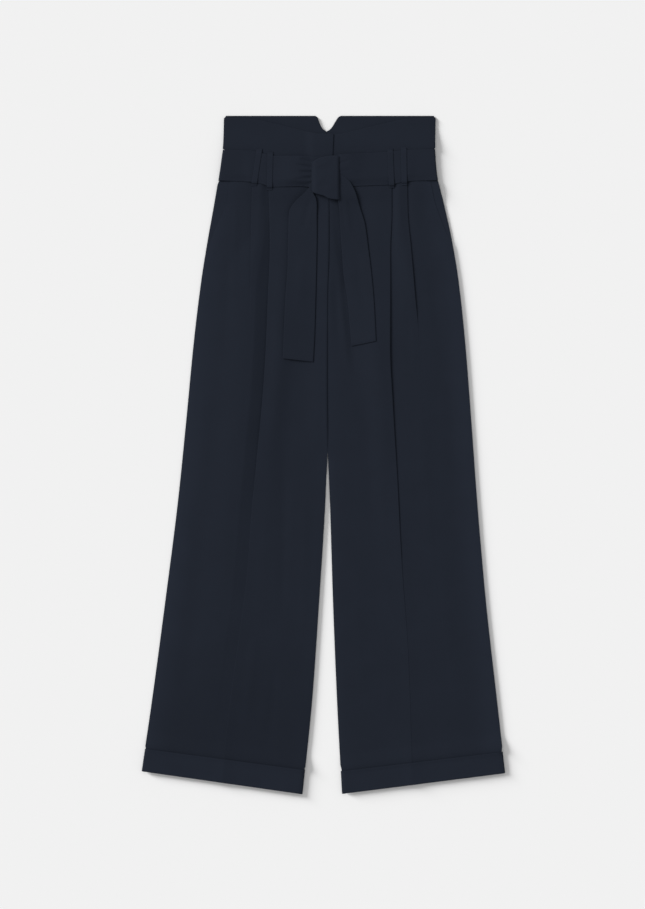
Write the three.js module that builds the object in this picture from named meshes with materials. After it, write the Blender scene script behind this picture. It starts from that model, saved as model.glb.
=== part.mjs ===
// Crepe trousers laid flat, front side up, waist towards +Y.
// Millimetres, +Z up, the resting surface at Z 0, +X to the viewer's right.
// Right and left in names are the wearer's, so the right leg lies on the -X side.
import * as THREE from 'three';

// Cloth thicknesses and the gap kept between neighbouring pieces
const CLOTH = 1.0;
const BAND = 1.6;
const BELT = 1.6;
const CUFF = 1.2;
const LOOP = 1.0;
const TAIL = 1.3;
const GAP = 0.3;

// Placing: depths are measured down from the back waistband's top edge
const TOP_Y = 549;
const CENTRE_X = 9.1;
const WAIST_SEAM = 96;
const CROTCH = 543;
const TURN_UP = 37;

// Heights of the stack at the waist, where the back belt and its loops lie underneath
const BACK_BELT_BASE = LOOP + 0.5;
const WAIST_BASE = BACK_BELT_BASE + BELT + GAP;
const CUFF_BASE = CUFF + GAP;

// Depths between which a form fades in or out
const WAIST_STACK_FADE = { from: 112, to: 146 };
const BACK_BAND_FADE = { from: 14, to: 50 };
const CREASE_FADE = { from: 480, to: 700 };
const BELT_INSET_FADE = { from: 108, to: 120 };
const BAND_INSET_FADE = { from: 38, to: 49 };
const TAIL_LIFT_FADE = { from: 160, to: 120 };

// Knife pleats: the radius at the cloth's middle keeps the folded layers apart
const FOLD_RADIUS = (CLOTH + GAP) / 2;
const FOLD_STEPS = 4;
const FOLD_SPLIT = 0.02;
const PLEAT_RAMP = 9;
const PLEAT_REST = 1.2;
const HEM_FOLD_TURN = Math.PI / 6;

// Pressed crease down the front, and the turn-up over it
const CREASE_HEIGHT = 0.8;
const CREASE_REACH = 16;
const CREASE_WIDTH = 5;
const CREASE_STEP = 4;
const CUFF_CLEARANCE = 0.4;
const CUFF_EASE = 4;
const CUFF_RISE_START = 30;
const CUFF_RISE_END = 3;
const PANEL_ABOVE_HEM = 2;

// Fly underlap: its edges right and left of the centre, and the panel's rise over it
const FLY_END = 250;
const FLY_RIGHT_EDGE = -12;
const FLY_LEFT_EDGE = 14;
const FLY_TAPER = 8;
const FLY_TAPER_LENGTH = 40;
const FLY_RISE = { from: 20, to: 34 };
const FLY_FADE = { from: FLY_END + 14, to: FLY_END + 44 };
const FLY_COLUMNS = [0, 9, 20, 27, 34];

// Pocket bearer: how far it reaches in behind the opening, and the panel's rise over it
const BEARER_REACH = 16;
const POCKET_RISE = { from: 34, to: 22 };
const POCKET_FADE = { from: 6, to: 30 };

// Overlap of the front waistband, wearer's right over left
const OVERLAP_END = -5.7;
const UNDERLAP_END = -17;
const OVERLAP_FADE = { from: 24, to: 40 };

// Belt: its underside is highest at the knot and leans out over the pleats
const BELT_INSET = 2.9;
const BELT_CENTRE_BASE = 9.2;
const BELT_UPPER_BASE = 7.5;
const BELT_LOWER_BASE = 8.8;
const BELT_CENTRE_FADE = { from: 26, to: 60 };
const BELT_START = 0.15;
const BELT_OUTS = [BELT_START, 10, 22, 34, 48, 62, 78, 92, 104, 114, 126, 140, 155];
const BELT_BACK_OUTS = [110, 55];
const BELT_SIDE_OUT = 180;
const SIDE_BEND = 2.6;
const SIDE_MIDDLE = 5.2;
const SIDE_FLAT = 3;

// Belt loops: feet beyond the belt's edges, and the bends between feet and strip
const LOOP_WIDTH = 9;
const LOOP_BEND = 0.6;
const LOOP_SLACK = 0.1;
const LOOP_BOW = 0.2;
const LOOP_FRONT_FOOT = 5;
const LOOP_BACK_FOOT = 3;
const LOOP_ABOVE_BELT = 1.3;
const LOOP_BELOW_BELT = 1.4;
const LOOP_BEHIND_CLEARANCE = 1.2;

// Knot sections: points round each, and the power that rounds them, 1 being an ellipse
const KNOT_POINTS = 20;
const KNOT_POWER = 0.6;

const COLOUR = 0x22262f;

// One row for each section down a leg: depth, then distances out from the centre line
const RIGHT_OUTLINE = [
  { down: 0, outer: 170.3 },
  { down: 45, outer: 171.6 },
  { down: 71, outer: 174.8 },
  { down: 97, outer: 178.5 },
  { down: 149, outer: 187.4 },
  { down: 201, outer: 196.7 },
  { down: 266, outer: 206.9 },
  { down: 363, outer: 218.7 },
  { down: 493, outer: 231.3 },
  { down: 622, outer: 244.5 },
  { down: 784, outer: 265.0 },
  { down: 946, outer: 286.7 },
  { down: 1062, outer: 303.6 },
];
const LEFT_OUTLINE = [
  { down: 0, outer: 173.2 },
  { down: 45, outer: 172.4 },
  { down: 71, outer: 173.5 },
  { down: 97, outer: 176.1 },
  { down: 149, outer: 188.1 },
  { down: 201, outer: 199.4 },
  { down: 266, outer: 210.1 },
  { down: 363, outer: 220.5 },
  { down: 493, outer: 230.7 },
  { down: 622, outer: 240.1 },
  { down: 784, outer: 254.2 },
  { down: 946, outer: 272.3 },
  { down: 1064, outer: 285.3 },
];
const RIGHT_INSEAM = [
  { down: 96, inner: 0.8 },
  { down: 270, inner: 1.2 },
  { down: 543, inner: 1.75 },
  { down: 590, inner: 4.0 },
  { down: 622, inner: 5.3 },
  { down: 784, inner: 15.6 },
  { down: 946, inner: 27.1 },
  { down: 1098, inner: 43.0 },
];
const LEFT_INSEAM = [
  { down: 96, inner: -0.5 },
  { down: 270, inner: -0.9 },
  { down: 543, inner: -1.45 },
  { down: 590, inner: -0.3 },
  { down: 622, inner: 1.0 },
  { down: 784, inner: 6.0 },
  { down: 946, inner: 12.6 },
  { down: 1098, inner: 20.6 },
];

// Pleats: depth down, fold edge out from the centre, cloth folded under, and how far the fold turns
const RIGHT_PLEATS = [
  [
    { down: 96, edge: 99.3, under: 19, turn: 180 },
    { down: 165, edge: 97.0, under: 19, turn: 180 },
    { down: 210, edge: 96.4, under: 18, turn: 180 },
    { down: 295, edge: 99.6, under: 15, turn: 180 },
    { down: 375, edge: 102.8, under: 11, turn: 180 },
    { down: 460, edge: 108.5, under: 6, turn: 180 },
    { down: 560, edge: 118.0, under: 0, turn: 150 },
    { down: 640, edge: 125.5, under: 0, turn: 60 },
    { down: 740, edge: 133.3, under: 0, turn: 30 },
    { down: 946, edge: 160.4, under: 0, turn: 30 },
    { down: 1080, edge: 176.0, under: 0, turn: 30 },
  ],
  [
    { down: 96, edge: 124.5, under: 11, turn: 180 },
    { down: 157, edge: 126.2, under: 9, turn: 180 },
    { down: 215, edge: 127.2, under: 4, turn: 180 },
    { down: 260, edge: 127.4, under: 0, turn: 150 },
    { down: 310, edge: 128.0, under: 0, turn: 30 },
    { down: 400, edge: 133.0, under: 0, turn: 12 },
    { down: 1080, edge: 205.0, under: 0, turn: 12 },
  ],
];
const LEFT_PLEATS = [
  [
    { down: 96, edge: 101.3, under: 19, turn: 180 },
    { down: 157, edge: 101.6, under: 19, turn: 180 },
    { down: 217, edge: 99.3, under: 18, turn: 180 },
    { down: 295, edge: 99.3, under: 16, turn: 180 },
    { down: 375, edge: 99.0, under: 14, turn: 180 },
    { down: 460, edge: 103.0, under: 10, turn: 180 },
    { down: 595, edge: 111.0, under: 4, turn: 180 },
    { down: 675, edge: 115.0, under: 0, turn: 150 },
    { down: 740, edge: 119.1, under: 0, turn: 40 },
    { down: 870, edge: 128.6, under: 0, turn: 30 },
    { down: 1080, edge: 136.0, under: 0, turn: 30 },
  ],
  [
    { down: 96, edge: 126.2, under: 11, turn: 180 },
    { down: 157, edge: 127.6, under: 9, turn: 180 },
    { down: 212, edge: 132.5, under: 6, turn: 180 },
    { down: 298, edge: 140.1, under: 0, turn: 150 },
    { down: 345, edge: 144.7, under: 0, turn: 30 },
    { down: 400, edge: 147.0, under: 0, turn: 12 },
    { down: 1080, edge: 205.0, under: 0, turn: 12 },
  ],
];

// Slanted pocket openings: where the front panel's edge leaves the side seam
const RIGHT_POCKET = [
  { down: 96, outer: 161.0 },
  { down: 141, outer: 166.0 },
  { down: 168, outer: 178.2 },
  { down: 225, outer: 200.7 },
];
const LEFT_POCKET = [
  { down: 96, outer: 162.0 },
  { down: 139, outer: 170.9 },
  { down: 176, outer: 184.0 },
  { down: 214, outer: 201.5 },
];

// Front waistband's top edge, a shallow V towards the centre
const FRONT_TOP = [
  { out: -20, down: 29.2 },
  { out: 14, down: 29.2 },
  { out: 47, down: 22.5 },
  { out: 90, down: 12.0 },
  { out: 130, down: 4.5 },
  { out: 175, down: 3.0 },
];

// Back waistband's notch: distance out from the centre line on each side
const NOTCH = [
  { down: 0, right: 22.5, left: 19.0 },
  { down: 1.5, right: 19.6, left: 15.4 },
  { down: 9.7, right: 16.2, left: 9.7 },
  { down: 16.2, right: 13.6, left: 5.8 },
  { down: 20.5, right: 10.8, left: 2.6 },
  { down: 23.5, right: 7.4, left: -0.9 },
  { down: 25.1, right: 4.2, left: -3.9 },
  { down: 96, right: 4.2, left: -3.9 },
];

// Belt edges along the waist on each side
const RIGHT_BELT = [
  { out: 0, top: 66.5, bottom: 117 },
  { out: 20, top: 67.0, bottom: 117 },
  { out: 45, top: 65.6, bottom: 114.5 },
  { out: 92, top: 65.0, bottom: 115.5 },
  { out: 112, top: 60.0, bottom: 110.0 },
  { out: 130, top: 56.5, bottom: 107.0 },
  { out: 185, top: 55.5, bottom: 105.0 },
];
const LEFT_BELT = [
  { out: 0, top: 65.5, bottom: 117 },
  { out: 20, top: 63.0, bottom: 116 },
  { out: 45, top: 61.5, bottom: 114.0 },
  { out: 98, top: 58.5, bottom: 112.0 },
  { out: 118, top: 56.5, bottom: 108.0 },
  { out: 135, top: 55.5, bottom: 105.8 },
  { out: 185, top: 54.0, bottom: 104.5 },
];

// Front belt loops: which side, and the middle of the loop at its top and bottom
const FRONT_LOOPS = [
  { side: 'right', top: 113.5, bottom: 122.5 },
  { side: 'right', top: 96.0, bottom: 97.5 },
  { side: 'left', top: 98.6, bottom: 101.0 },
  { side: 'left', top: 120.6, bottom: 121.4 },
];
const BACK_LOOP_OUT = 80;

// Knot: sections from its top to its bottom, lying on the belt above and on the belt ends below
const KNOT = [
  { down: 67.5, from: -12.0, to: 12.5, base: 11.9, height: 1.8 },
  { down: 69.0, from: -15.8, to: 18.5, base: 11.3, height: 3.3 },
  { down: 74.0, from: -16.6, to: 24.5, base: 11.2, height: 4.3 },
  { down: 84.0, from: -16.9, to: 28.0, base: 11.2, height: 5.2 },
  { down: 92.0, from: -16.9, to: 28.4, base: 12.8, height: 4.1 },
  { down: 98.0, from: -16.9, to: 28.6, base: 12.8, height: 4.2 },
  { down: 110.0, from: -16.6, to: 28.8, base: 12.8, height: 4.2 },
  { down: 120.0, from: -16.2, to: 28.2, base: 12.8, height: 4.1 },
  { down: 127.0, from: -15.8, to: 18.5, base: 12.8, height: 3.7 },
  { down: 132.0, from: -15.2, to: 8.0, base: 12.8, height: 3.0 },
  { down: 134.5, from: -13.6, to: -1.0, base: 13.1, height: 1.8 },
];

// Belt ends: edges out from the centre at each depth, and the height over the front panel
const RIGHT_TAIL = [
  { nearDown: 112, near: 14.0, farDown: 104, far: 26.0, lift: 4.6 },
  { nearDown: 124, near: 26.0, farDown: 117, far: 32.6, lift: 4.6 },
  { nearDown: 134, near: 21.6, farDown: 128, far: 43.0, lift: 4.2 },
  { nearDown: 146, near: 20.0, farDown: 140, far: 56.0, lift: 3.2 },
  { nearDown: 162, near: 19.2, farDown: 157, far: 65.0, lift: 1.9 },
  { nearDown: 190, near: 18.6, farDown: 190, far: 66.6, lift: 0.6 },
  { nearDown: 243, near: 19.4, farDown: 243, far: 67.6, lift: 0.4 },
  { nearDown: 300, near: 21.0, farDown: 299, far: 71.4, lift: 0.2 },
  { nearDown: 350, near: 22.4, farDown: 346, far: 73.6, lift: 0 },
  { nearDown: 397, near: 25.0, farDown: 391.5, far: 75.4, lift: 0 },
];
const LEFT_TAIL = [
  { nearDown: 122, near: 4.0, farDown: 94, far: 15.0, lift: 4.6 },
  { nearDown: 127, near: 8.0, farDown: 99, far: 25.0, lift: 4.6 },
  { nearDown: 134, near: 12.5, farDown: 107, far: 34.0, lift: 4.6 },
  { nearDown: 145, near: 15.4, farDown: 122, far: 42.5, lift: 4.4 },
  { nearDown: 160, near: 16.6, farDown: 148, far: 51.5, lift: 3.0 },
  { nearDown: 182, near: 17.8, farDown: 176, far: 60.0, lift: 1.6 },
  { nearDown: 215, near: 20.0, farDown: 212, far: 65.0, lift: 0.7 },
  { nearDown: 256, near: 22.8, farDown: 254, far: 69.8, lift: 0.2 },
  { nearDown: 300, near: 29.4, farDown: 298, far: 73.6, lift: 0 },
  { nearDown: 370, near: 35.8, farDown: 362, far: 77.0, lift: 0 },
];

const SIDES = {
  right: {
    name: 'right',
    sign: -1,
    outline: RIGHT_OUTLINE,
    inseam: RIGHT_INSEAM,
    pleats: RIGHT_PLEATS,
    pocket: RIGHT_POCKET,
    belt: RIGHT_BELT,
    tail: RIGHT_TAIL,
    hemOuter: 1061,
    hemInner: 1098,
    bandEnd: OVERLAP_END,
    bandRise: BAND + GAP,
  },
  left: {
    name: 'left',
    sign: 1,
    outline: LEFT_OUTLINE,
    inseam: LEFT_INSEAM,
    pleats: LEFT_PLEATS,
    pocket: LEFT_POCKET,
    belt: LEFT_BELT,
    tail: LEFT_TAIL,
    hemOuter: 1064,
    hemInner: 1097.5,
    bandEnd: UNDERLAP_END,
    bandRise: 0,
  },
};

// Smooth step from 0 at a to 1 at b
function ramp(a, b, value) {
  const t = THREE.MathUtils.clamp((value - a) / (b - a), 0, 1);
  return t * t * (3 - 2 * t);
}

// How far a fade has come at a place, from 0 to 1
function faded(fade, place) {
  return ramp(fade.from, fade.to, place);
}

// Smooth value of one column of a table at a place along its key column
function lookUp(table, key, column, place) {
  const last = table.length - 1;
  const at = THREE.MathUtils.clamp(place, table[0][key], table[last][key]);
  let i = 0;
  while (i < last - 1 && at > table[i + 1][key]) {
    i += 1;
  }
  const slope = (a, b) => (table[b][column] - table[a][column]) / (table[b][key] - table[a][key]);
  const span = table[i + 1][key] - table[i][key];
  const here = slope(i, i + 1);
  const before = i > 0 ? slope(i - 1, i) : here;
  const after = i < last - 1 ? slope(i + 1, i + 2) : here;
  const gentle = (a, b) => (a * b <= 0 ? 0 : (2 * a * b) / (a + b));
  const startSlope = i > 0 ? gentle(before, here) : here;
  const endSlope = i < last - 1 ? gentle(here, after) : here;
  const t = (at - table[i][key]) / span;
  const u = 1 - t;
  return (
    table[i][column] * u * u * (1 + 2 * t) +
    table[i + 1][column] * t * t * (3 - 2 * t) +
    span * (startSlope * t * u * u - endSlope * t * t * u)
  );
}

// Underside of the back panels and of the back waistband over the resting surface
function backBase(down, hem) {
  const cuffTop = hem - TURN_UP;
  const waist = WAIST_BASE * (1 - faded(WAIST_STACK_FADE, down));
  const cuff = CUFF_BASE * ramp(cuffTop - CUFF_RISE_START, cuffTop - CUFF_RISE_END, down);
  return waist + cuff;
}

function bandBase(down) {
  return WAIST_BASE * faded(BACK_BAND_FADE, down);
}

// Extra height of the front panel over the fly underlap and over the pocket bearer
function flyRise(out, down) {
  return (CLOTH + GAP) * (1 - faded(FLY_RISE, out)) * (1 - faded(FLY_FADE, down));
}

function pocketEnd(side) {
  return side.pocket[side.pocket.length - 1].down;
}

function pocketRise(side, out, down) {
  const edge = lookUp(side.pocket, 'down', 'outer', down);
  const short = 1 - faded(POCKET_FADE, down - pocketEnd(side));
  return (CLOTH + GAP) * faded(POCKET_RISE, edge - out) * short;
}

function creaseRise(side, out, down) {
  const edge = lookUp(side.pleats[0], 'down', 'edge', down);
  const ridge = Math.max(0, 1 - Math.abs(out - edge) / CREASE_REACH);
  return CREASE_HEIGHT * faded(CREASE_FADE, down) * ridge;
}

// A leg's station: its depth at the outer edge and at the inner edge, where the hem slants
function stationDrop(side, station) {
  const share = (station - WAIST_SEAM) / (side.hemOuter - WAIST_SEAM);
  return (side.hemInner - side.hemOuter) * share * share;
}

function pocketEdge(side, station) {
  return station < pocketEnd(side) ? lookUp(side.pocket, 'down', 'outer', station) : Infinity;
}

// How far a panel's edge is held in, under the belt and inside the turn-up
function edgeInset(side, station) {
  const belt = BELT_INSET * (1 - faded(BELT_INSET_FADE, station));
  const cuffTop = side.hemOuter - TURN_UP;
  const cuff = (CUFF + GAP + CUFF_CLEARANCE) * ramp(cuffTop - CUFF_EASE, cuffTop, station);
  return belt + cuff;
}

function legEdges(side, station) {
  const inset = edgeInset(side, station);
  const drop = stationDrop(side, station);
  const outer = lookUp(side.outline, 'down', 'outer', station) - inset;
  const legInset = station > CROTCH ? inset : 0;
  const inner = lookUp(side.inseam, 'down', 'inner', station + drop) + legInset;
  return { inner, outer, drop };
}

// Depth of the hem below a place on a slanted station
function hemAt(side, station, edges, down) {
  const slant = edges.drop > 0 ? (down - station) / edges.drop : 0;
  return side.hemOuter + (side.hemInner - side.hemOuter) * slant;
}

function downAt(station, edges, out) {
  const share = THREE.MathUtils.clamp((out - edges.inner) / (edges.outer - edges.inner), 0, 1);
  return station + edges.drop * (1 - share);
}

function place(side, out, down, z) {
  return new THREE.Vector3(CENTRE_X + side.sign * out, TOP_Y - down, z);
}

// A closed body from outer and inner skins; the sign of its volume sets which way faces point
function bodyFrom(points, triangles) {
  let volume = 0;
  const cross = new THREE.Vector3();
  for (const [a, b, c] of triangles) {
    volume += points[a].dot(cross.crossVectors(points[b], points[c]));
  }
  const turned = volume < 0;
  const index = triangles.flatMap(([a, b, c]) => (turned ? [a, c, b] : [a, b, c]));
  const geometry = new THREE.BufferGeometry();
  const flat = points.flatMap((p) => [p.x, p.y, p.z]);
  geometry.setAttribute('position', new THREE.Float32BufferAttribute(flat, 3));
  geometry.setIndex(index);
  geometry.computeVertexNormals();
  return geometry;
}

function quad(triangles, a, b, c, d) {
  triangles.push([a, b, c], [a, c, d]);
}

// Wall of even thickness through a grid of middle points, rows down and columns across
function wall(grid, thickness, ring = false) {
  const rows = grid.length;
  const columns = grid[0].length;
  const wrap = (i) => (ring ? (i + columns) % columns : THREE.MathUtils.clamp(i, 0, columns - 1));
  const points = [];
  const normalAt = (j, i) => {
    const back = new THREE.Vector3().subVectors(grid[j][i], grid[j][wrap(i - 1)]).normalize();
    const ahead = new THREE.Vector3().subVectors(grid[j][wrap(i + 1)], grid[j][i]).normalize();
    const across = back.clone().add(ahead).normalize();
    const above = grid[Math.max(0, j - 1)][i];
    const below = grid[Math.min(rows - 1, j + 1)][i];
    const along = new THREE.Vector3().subVectors(below, above).normalize();
    const bend = back.lengthSq() > 0 && ahead.lengthSq() > 0 ? Math.max(0.8, across.dot(ahead)) : 1;
    return new THREE.Vector3().crossVectors(along, across).normalize().divideScalar(bend);
  };
  for (const half of [thickness / 2, -thickness / 2]) {
    for (let j = 0; j < rows; j += 1) {
      for (let i = 0; i < columns; i += 1) {
        points.push(grid[j][i].clone().addScaledVector(normalAt(j, i), half));
      }
    }
  }
  const one = (j, i) => j * columns + wrap(i);
  const two = (j, i) => rows * columns + one(j, i);
  const triangles = [];
  const spans = ring ? columns : columns - 1;
  for (let j = 0; j < rows - 1; j += 1) {
    for (let i = 0; i < spans; i += 1) {
      quad(triangles, one(j, i), one(j + 1, i), one(j + 1, i + 1), one(j, i + 1));
      quad(triangles, two(j, i), two(j, i + 1), two(j + 1, i + 1), two(j + 1, i));
    }
  }
  for (let i = 0; i < spans; i += 1) {
    quad(triangles, one(0, i), one(0, i + 1), two(0, i + 1), two(0, i));
    quad(triangles, one(rows - 1, i), two(rows - 1, i), two(rows - 1, i + 1), one(rows - 1, i + 1));
  }
  for (let j = 0; j < rows - 1 && !ring; j += 1) {
    const end = columns - 1;
    quad(triangles, one(j, 0), two(j, 0), two(j + 1, 0), one(j + 1, 0));
    quad(triangles, one(j, end), one(j + 1, end), two(j + 1, end), two(j, end));
  }
  return bodyFrom(points, triangles);
}

// Solid through a stack of rings with a flat fan at each end
function loft(rings) {
  const count = rings[0].length;
  const points = rings.flat();
  const triangles = [];
  for (let j = 0; j < rings.length - 1; j += 1) {
    for (let i = 0; i < count; i += 1) {
      const next = (i + 1) % count;
      quad(triangles, j * count + i, j * count + next, (j + 1) * count + next, (j + 1) * count + i);
    }
  }
  for (const [j, flip] of [[0, true], [rings.length - 1, false]]) {
    const middle = new THREE.Vector3();
    rings[j].forEach((p) => middle.addScaledVector(p, 1 / count));
    const hub = points.push(middle) - 1;
    for (let i = 0; i < count; i += 1) {
      const a = j * count + i;
      const b = j * count + ((i + 1) % count);
      triangles.push(flip ? [hub, b, a] : [hub, a, b]);
    }
  }
  return bodyFrom(points, triangles);
}

function spread(from, to, count) {
  return Array.from({ length: count }, (_, i) => from + ((to - from) * i) / (count - 1));
}

// One knife pleat at a station
function pleatAt(pleat, down) {
  const turn = THREE.MathUtils.degToRad(lookUp(pleat, 'down', 'turn', down));
  const under = Math.max(0, lookUp(pleat, 'down', 'under', down));
  const edge = lookUp(pleat, 'down', 'edge', down);
  const start = edge - FOLD_RADIUS - CLOTH / 2;
  const height = 2 * FOLD_RADIUS * (1 - Math.cos(turn)) + under * Math.sin(turn);
  const rampEnd = start - under - FOLD_RADIUS - CLOTH;
  return { turn, under, edge, start, height, rampEnd, rampStart: rampEnd - PLEAT_RAMP };
}

// Height of the front panel's upper layer over its base at one place
function upperRise(side, out, down) {
  let rise = flyRise(out, down) + pocketRise(side, out, down) + creaseRise(side, out, down);
  for (const table of side.pleats) {
    const pleat = pleatAt(table, down);
    if (out <= pleat.edge) {
      return rise + pleat.height * ramp(pleat.rampStart, pleat.rampEnd, out);
    }
  }
  return rise;
}

// Section across a front panel from the centre to the side, folded at its pleats
function frontSection(side, station) {
  const edges = legEdges(side, station);
  const outer = Math.min(edges.outer, pocketEdge(side, station));
  const middleDown = station + edges.drop / 2;
  const section = [];
  let from = edges.inner;
  side.pleats.forEach((table, number) => {
    const pleat = pleatAt(table, middleDown);
    const reach = pleat.rampStart - from;
    const flats = number === 0 ? FLY_COLUMNS : [0, Math.min(CREASE_REACH, reach / 2)];
    [...flats.map((step) => from + step), from + reach].forEach((out) => section.push({ out, rise: 0 }));
    for (const share of [0.25, 0.5, 0.75, 1]) {
      const out = THREE.MathUtils.lerp(pleat.rampStart, pleat.rampEnd, share);
      section.push({ out, rise: pleat.height * ramp(0, 1, share) });
    }
    for (let k = 0; k <= FOLD_STEPS; k += 1) {
      const angle = (pleat.turn * k) / FOLD_STEPS;
      const out = pleat.start + FOLD_RADIUS * Math.sin(angle);
      section.push({ out, rise: pleat.height - FOLD_RADIUS * (1 - Math.cos(angle)) });
    }
    const turned = section[section.length - 1];
    const outward = turned.out + pleat.under * Math.cos(pleat.turn);
    const lower = turned.rise - pleat.under * Math.sin(pleat.turn);
    for (let k = 0; k <= FOLD_STEPS; k += 1) {
      const angle = pleat.turn * (1 - k / FOLD_STEPS);
      const out = outward + FOLD_RADIUS * (Math.sin(pleat.turn) - Math.sin(angle));
      const rise = lower - FOLD_RADIUS * (Math.cos(angle) - Math.cos(pleat.turn));
      section.push({ out: k > 0 ? out : out + FOLD_SPLIT, rise });
    }
    from = section[section.length - 1].out + PLEAT_REST;
  });
  spread(from, outer, 5).forEach((out) => section.push({ out, rise: 0 }));
  return section.map(({ out, rise }) => {
    const down = downAt(station, edges, out);
    const soft = flyRise(out, down) + pocketRise(side, out, down) + creaseRise(side, out, down);
    const hem = hemAt(side, station, edges, down);
    const base = backBase(down, hem) + CLOTH + GAP + CLOTH / 2;
    return place(side, out, down, base + rise + soft);
  });
}

// Stations down a leg, close where the form changes fast
function legStations(side) {
  const cuffTop = side.hemOuter - TURN_UP;
  const hips = spread(WAIST_SEAM + GAP / 2, 156, 7);
  const thigh = spread(178, 370, 8);
  const knee = spread(412, 736, 7);
  const shin = spread(800, cuffTop - 34, 4);
  const hem = [cuffTop - 18, cuffTop - 5, cuffTop, side.hemOuter - PANEL_ABOVE_HEM];
  return [...hips, ...thigh, ...knee, ...shin, ...hem];
}

function frontLeg(side) {
  return wall(legStations(side).map((station) => frontSection(side, station)), CLOTH);
}

function backLeg(side) {
  const grid = legStations(side).map((station) => {
    const edges = legEdges(side, station);
    return spread(edges.inner, edges.outer, 6).map((out) => {
      const down = downAt(station, edges, out);
      const hem = hemAt(side, station, edges, down);
      return place(side, out, down, backBase(down, hem) + CLOTH / 2);
    });
  });
  return wall(grid, CLOTH);
}

// Side piece that shows behind the slanted pocket opening
function pocketBearer(side) {
  const grid = legStations(side).filter((down) => down < pocketEnd(side)).map((down) => {
    const outer = lookUp(side.outline, 'down', 'outer', down) - edgeInset(side, down);
    const inner = lookUp(side.pocket, 'down', 'outer', down) - BEARER_REACH;
    const base = backBase(down, side.hemOuter) + CLOTH + GAP;
    return spread(inner, outer, 4).map((out) => place(side, out, down, base + CLOTH / 2));
  });
  return wall(grid, CLOTH);
}

function flyUnderlap() {
  const side = SIDES.left;
  const grid = legStations(side).filter((down) => down <= FLY_END).map((down) => {
    const base = backBase(down, side.hemOuter) + CLOTH + GAP;
    const taper = FLY_TAPER * ramp(FLY_END - FLY_TAPER_LENGTH, FLY_END, down);
    const outs = spread(FLY_RIGHT_EDGE + taper, FLY_LEFT_EDGE - taper, 3);
    return outs.map((out) => place(side, out, down, base + CLOTH / 2));
  });
  return wall(grid, CLOTH);
}

// Waistband halves
function bandOuter(side, down) {
  return lookUp(side.outline, 'down', 'outer', down) - BELT_INSET * faded(BAND_INSET_FADE, down);
}

function frontBand(side) {
  const shares = [0, 0.18, 0.34, 0.5, 0.66, 0.82, 1];
  const grid = shares.map((share) => {
    const outer = bandOuter(side, share * WAIST_SEAM);
    return spread(side.bandEnd, outer, 13).map((out) => {
      const top = lookUp(FRONT_TOP, 'out', 'down', out);
      const down = THREE.MathUtils.lerp(top, WAIST_SEAM - GAP / 2, share);
      const overlap = side.bandRise * (1 - faded(OVERLAP_FADE, out));
      return place(side, out, down, bandBase(down) + BAND + GAP + BAND / 2 + overlap);
    });
  });
  return wall(grid, BAND);
}

function backBand(side) {
  const rows = [...NOTCH.slice(0, -1).map((row) => row.down), 38, 52, 66, 80, WAIST_SEAM - GAP / 2];
  const grid = rows.map((down) => {
    const inner = lookUp(NOTCH, 'down', side.name, down);
    return spread(inner, bandOuter(side, down), 7).map((out) => {
      return place(side, out, down, bandBase(down) + BAND / 2);
    });
  });
  return wall(grid, BAND);
}

// Turn-up: a flattened ring round the leg's end
function cuff(side) {
  const grid = [0, 0.33, 0.67, 1].map((share) => {
    const station = side.hemOuter - TURN_UP * (1 - share);
    const drop = stationDrop(side, station);
    const outer = lookUp(side.outline, 'down', 'outer', station) - CUFF / 2;
    const inner = lookUp(side.inseam, 'down', 'inner', station + drop) + CUFF / 2;
    const edges = { inner, outer, drop };
    const crease = lookUp(side.pleats[0], 'down', 'edge', station + drop / 2);
    const low = CUFF / 2;
    const high = CUFF_BASE + 2 * (CLOTH + GAP) + CUFF / 2;
    const bend = (high - low) / 2;
    const ring = [];
    const add = (out, z) => ring.push(place(side, out, downAt(station, edges, out), z));
    const fold = 2 * FOLD_RADIUS * (1 - Math.cos(HEM_FOLD_TURN));
    const nearSide = spread(inner + bend, crease - CREASE_REACH, 4);
    const ridge = [crease - CREASE_WIDTH, crease, crease + CREASE_WIDTH];
    const farSide = spread(crease + CREASE_REACH, outer - bend, 4);
    for (const out of [...nearSide, ...ridge, ...farSide]) {
      const step = fold * (1 - ramp(crease - CREASE_STEP, crease + CREASE_STEP, out));
      add(out, high + creaseRise(side, out, station) + step);
    }
    for (const angle of [60, 30, 0, -30, -60]) {
      const turn = THREE.MathUtils.degToRad(angle);
      add(outer - bend * (1 - Math.cos(turn)), low + bend + bend * Math.sin(turn));
    }
    spread(outer - bend, inner + bend, 6).forEach((out) => add(out, low));
    for (const angle of [-60, -30, 0, 30, 60]) {
      const turn = THREE.MathUtils.degToRad(angle);
      add(inner + bend * (1 - Math.cos(turn)), low + bend + bend * Math.sin(turn));
    }
    return ring;
  });
  return wall(grid, CUFF, true);
}

// Height of the front belt's underside
function beltBase(out, share) {
  const flat = THREE.MathUtils.lerp(BELT_UPPER_BASE, BELT_LOWER_BASE, share);
  return THREE.MathUtils.lerp(BELT_CENTRE_BASE, flat, faded(BELT_CENTRE_FADE, out));
}

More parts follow.
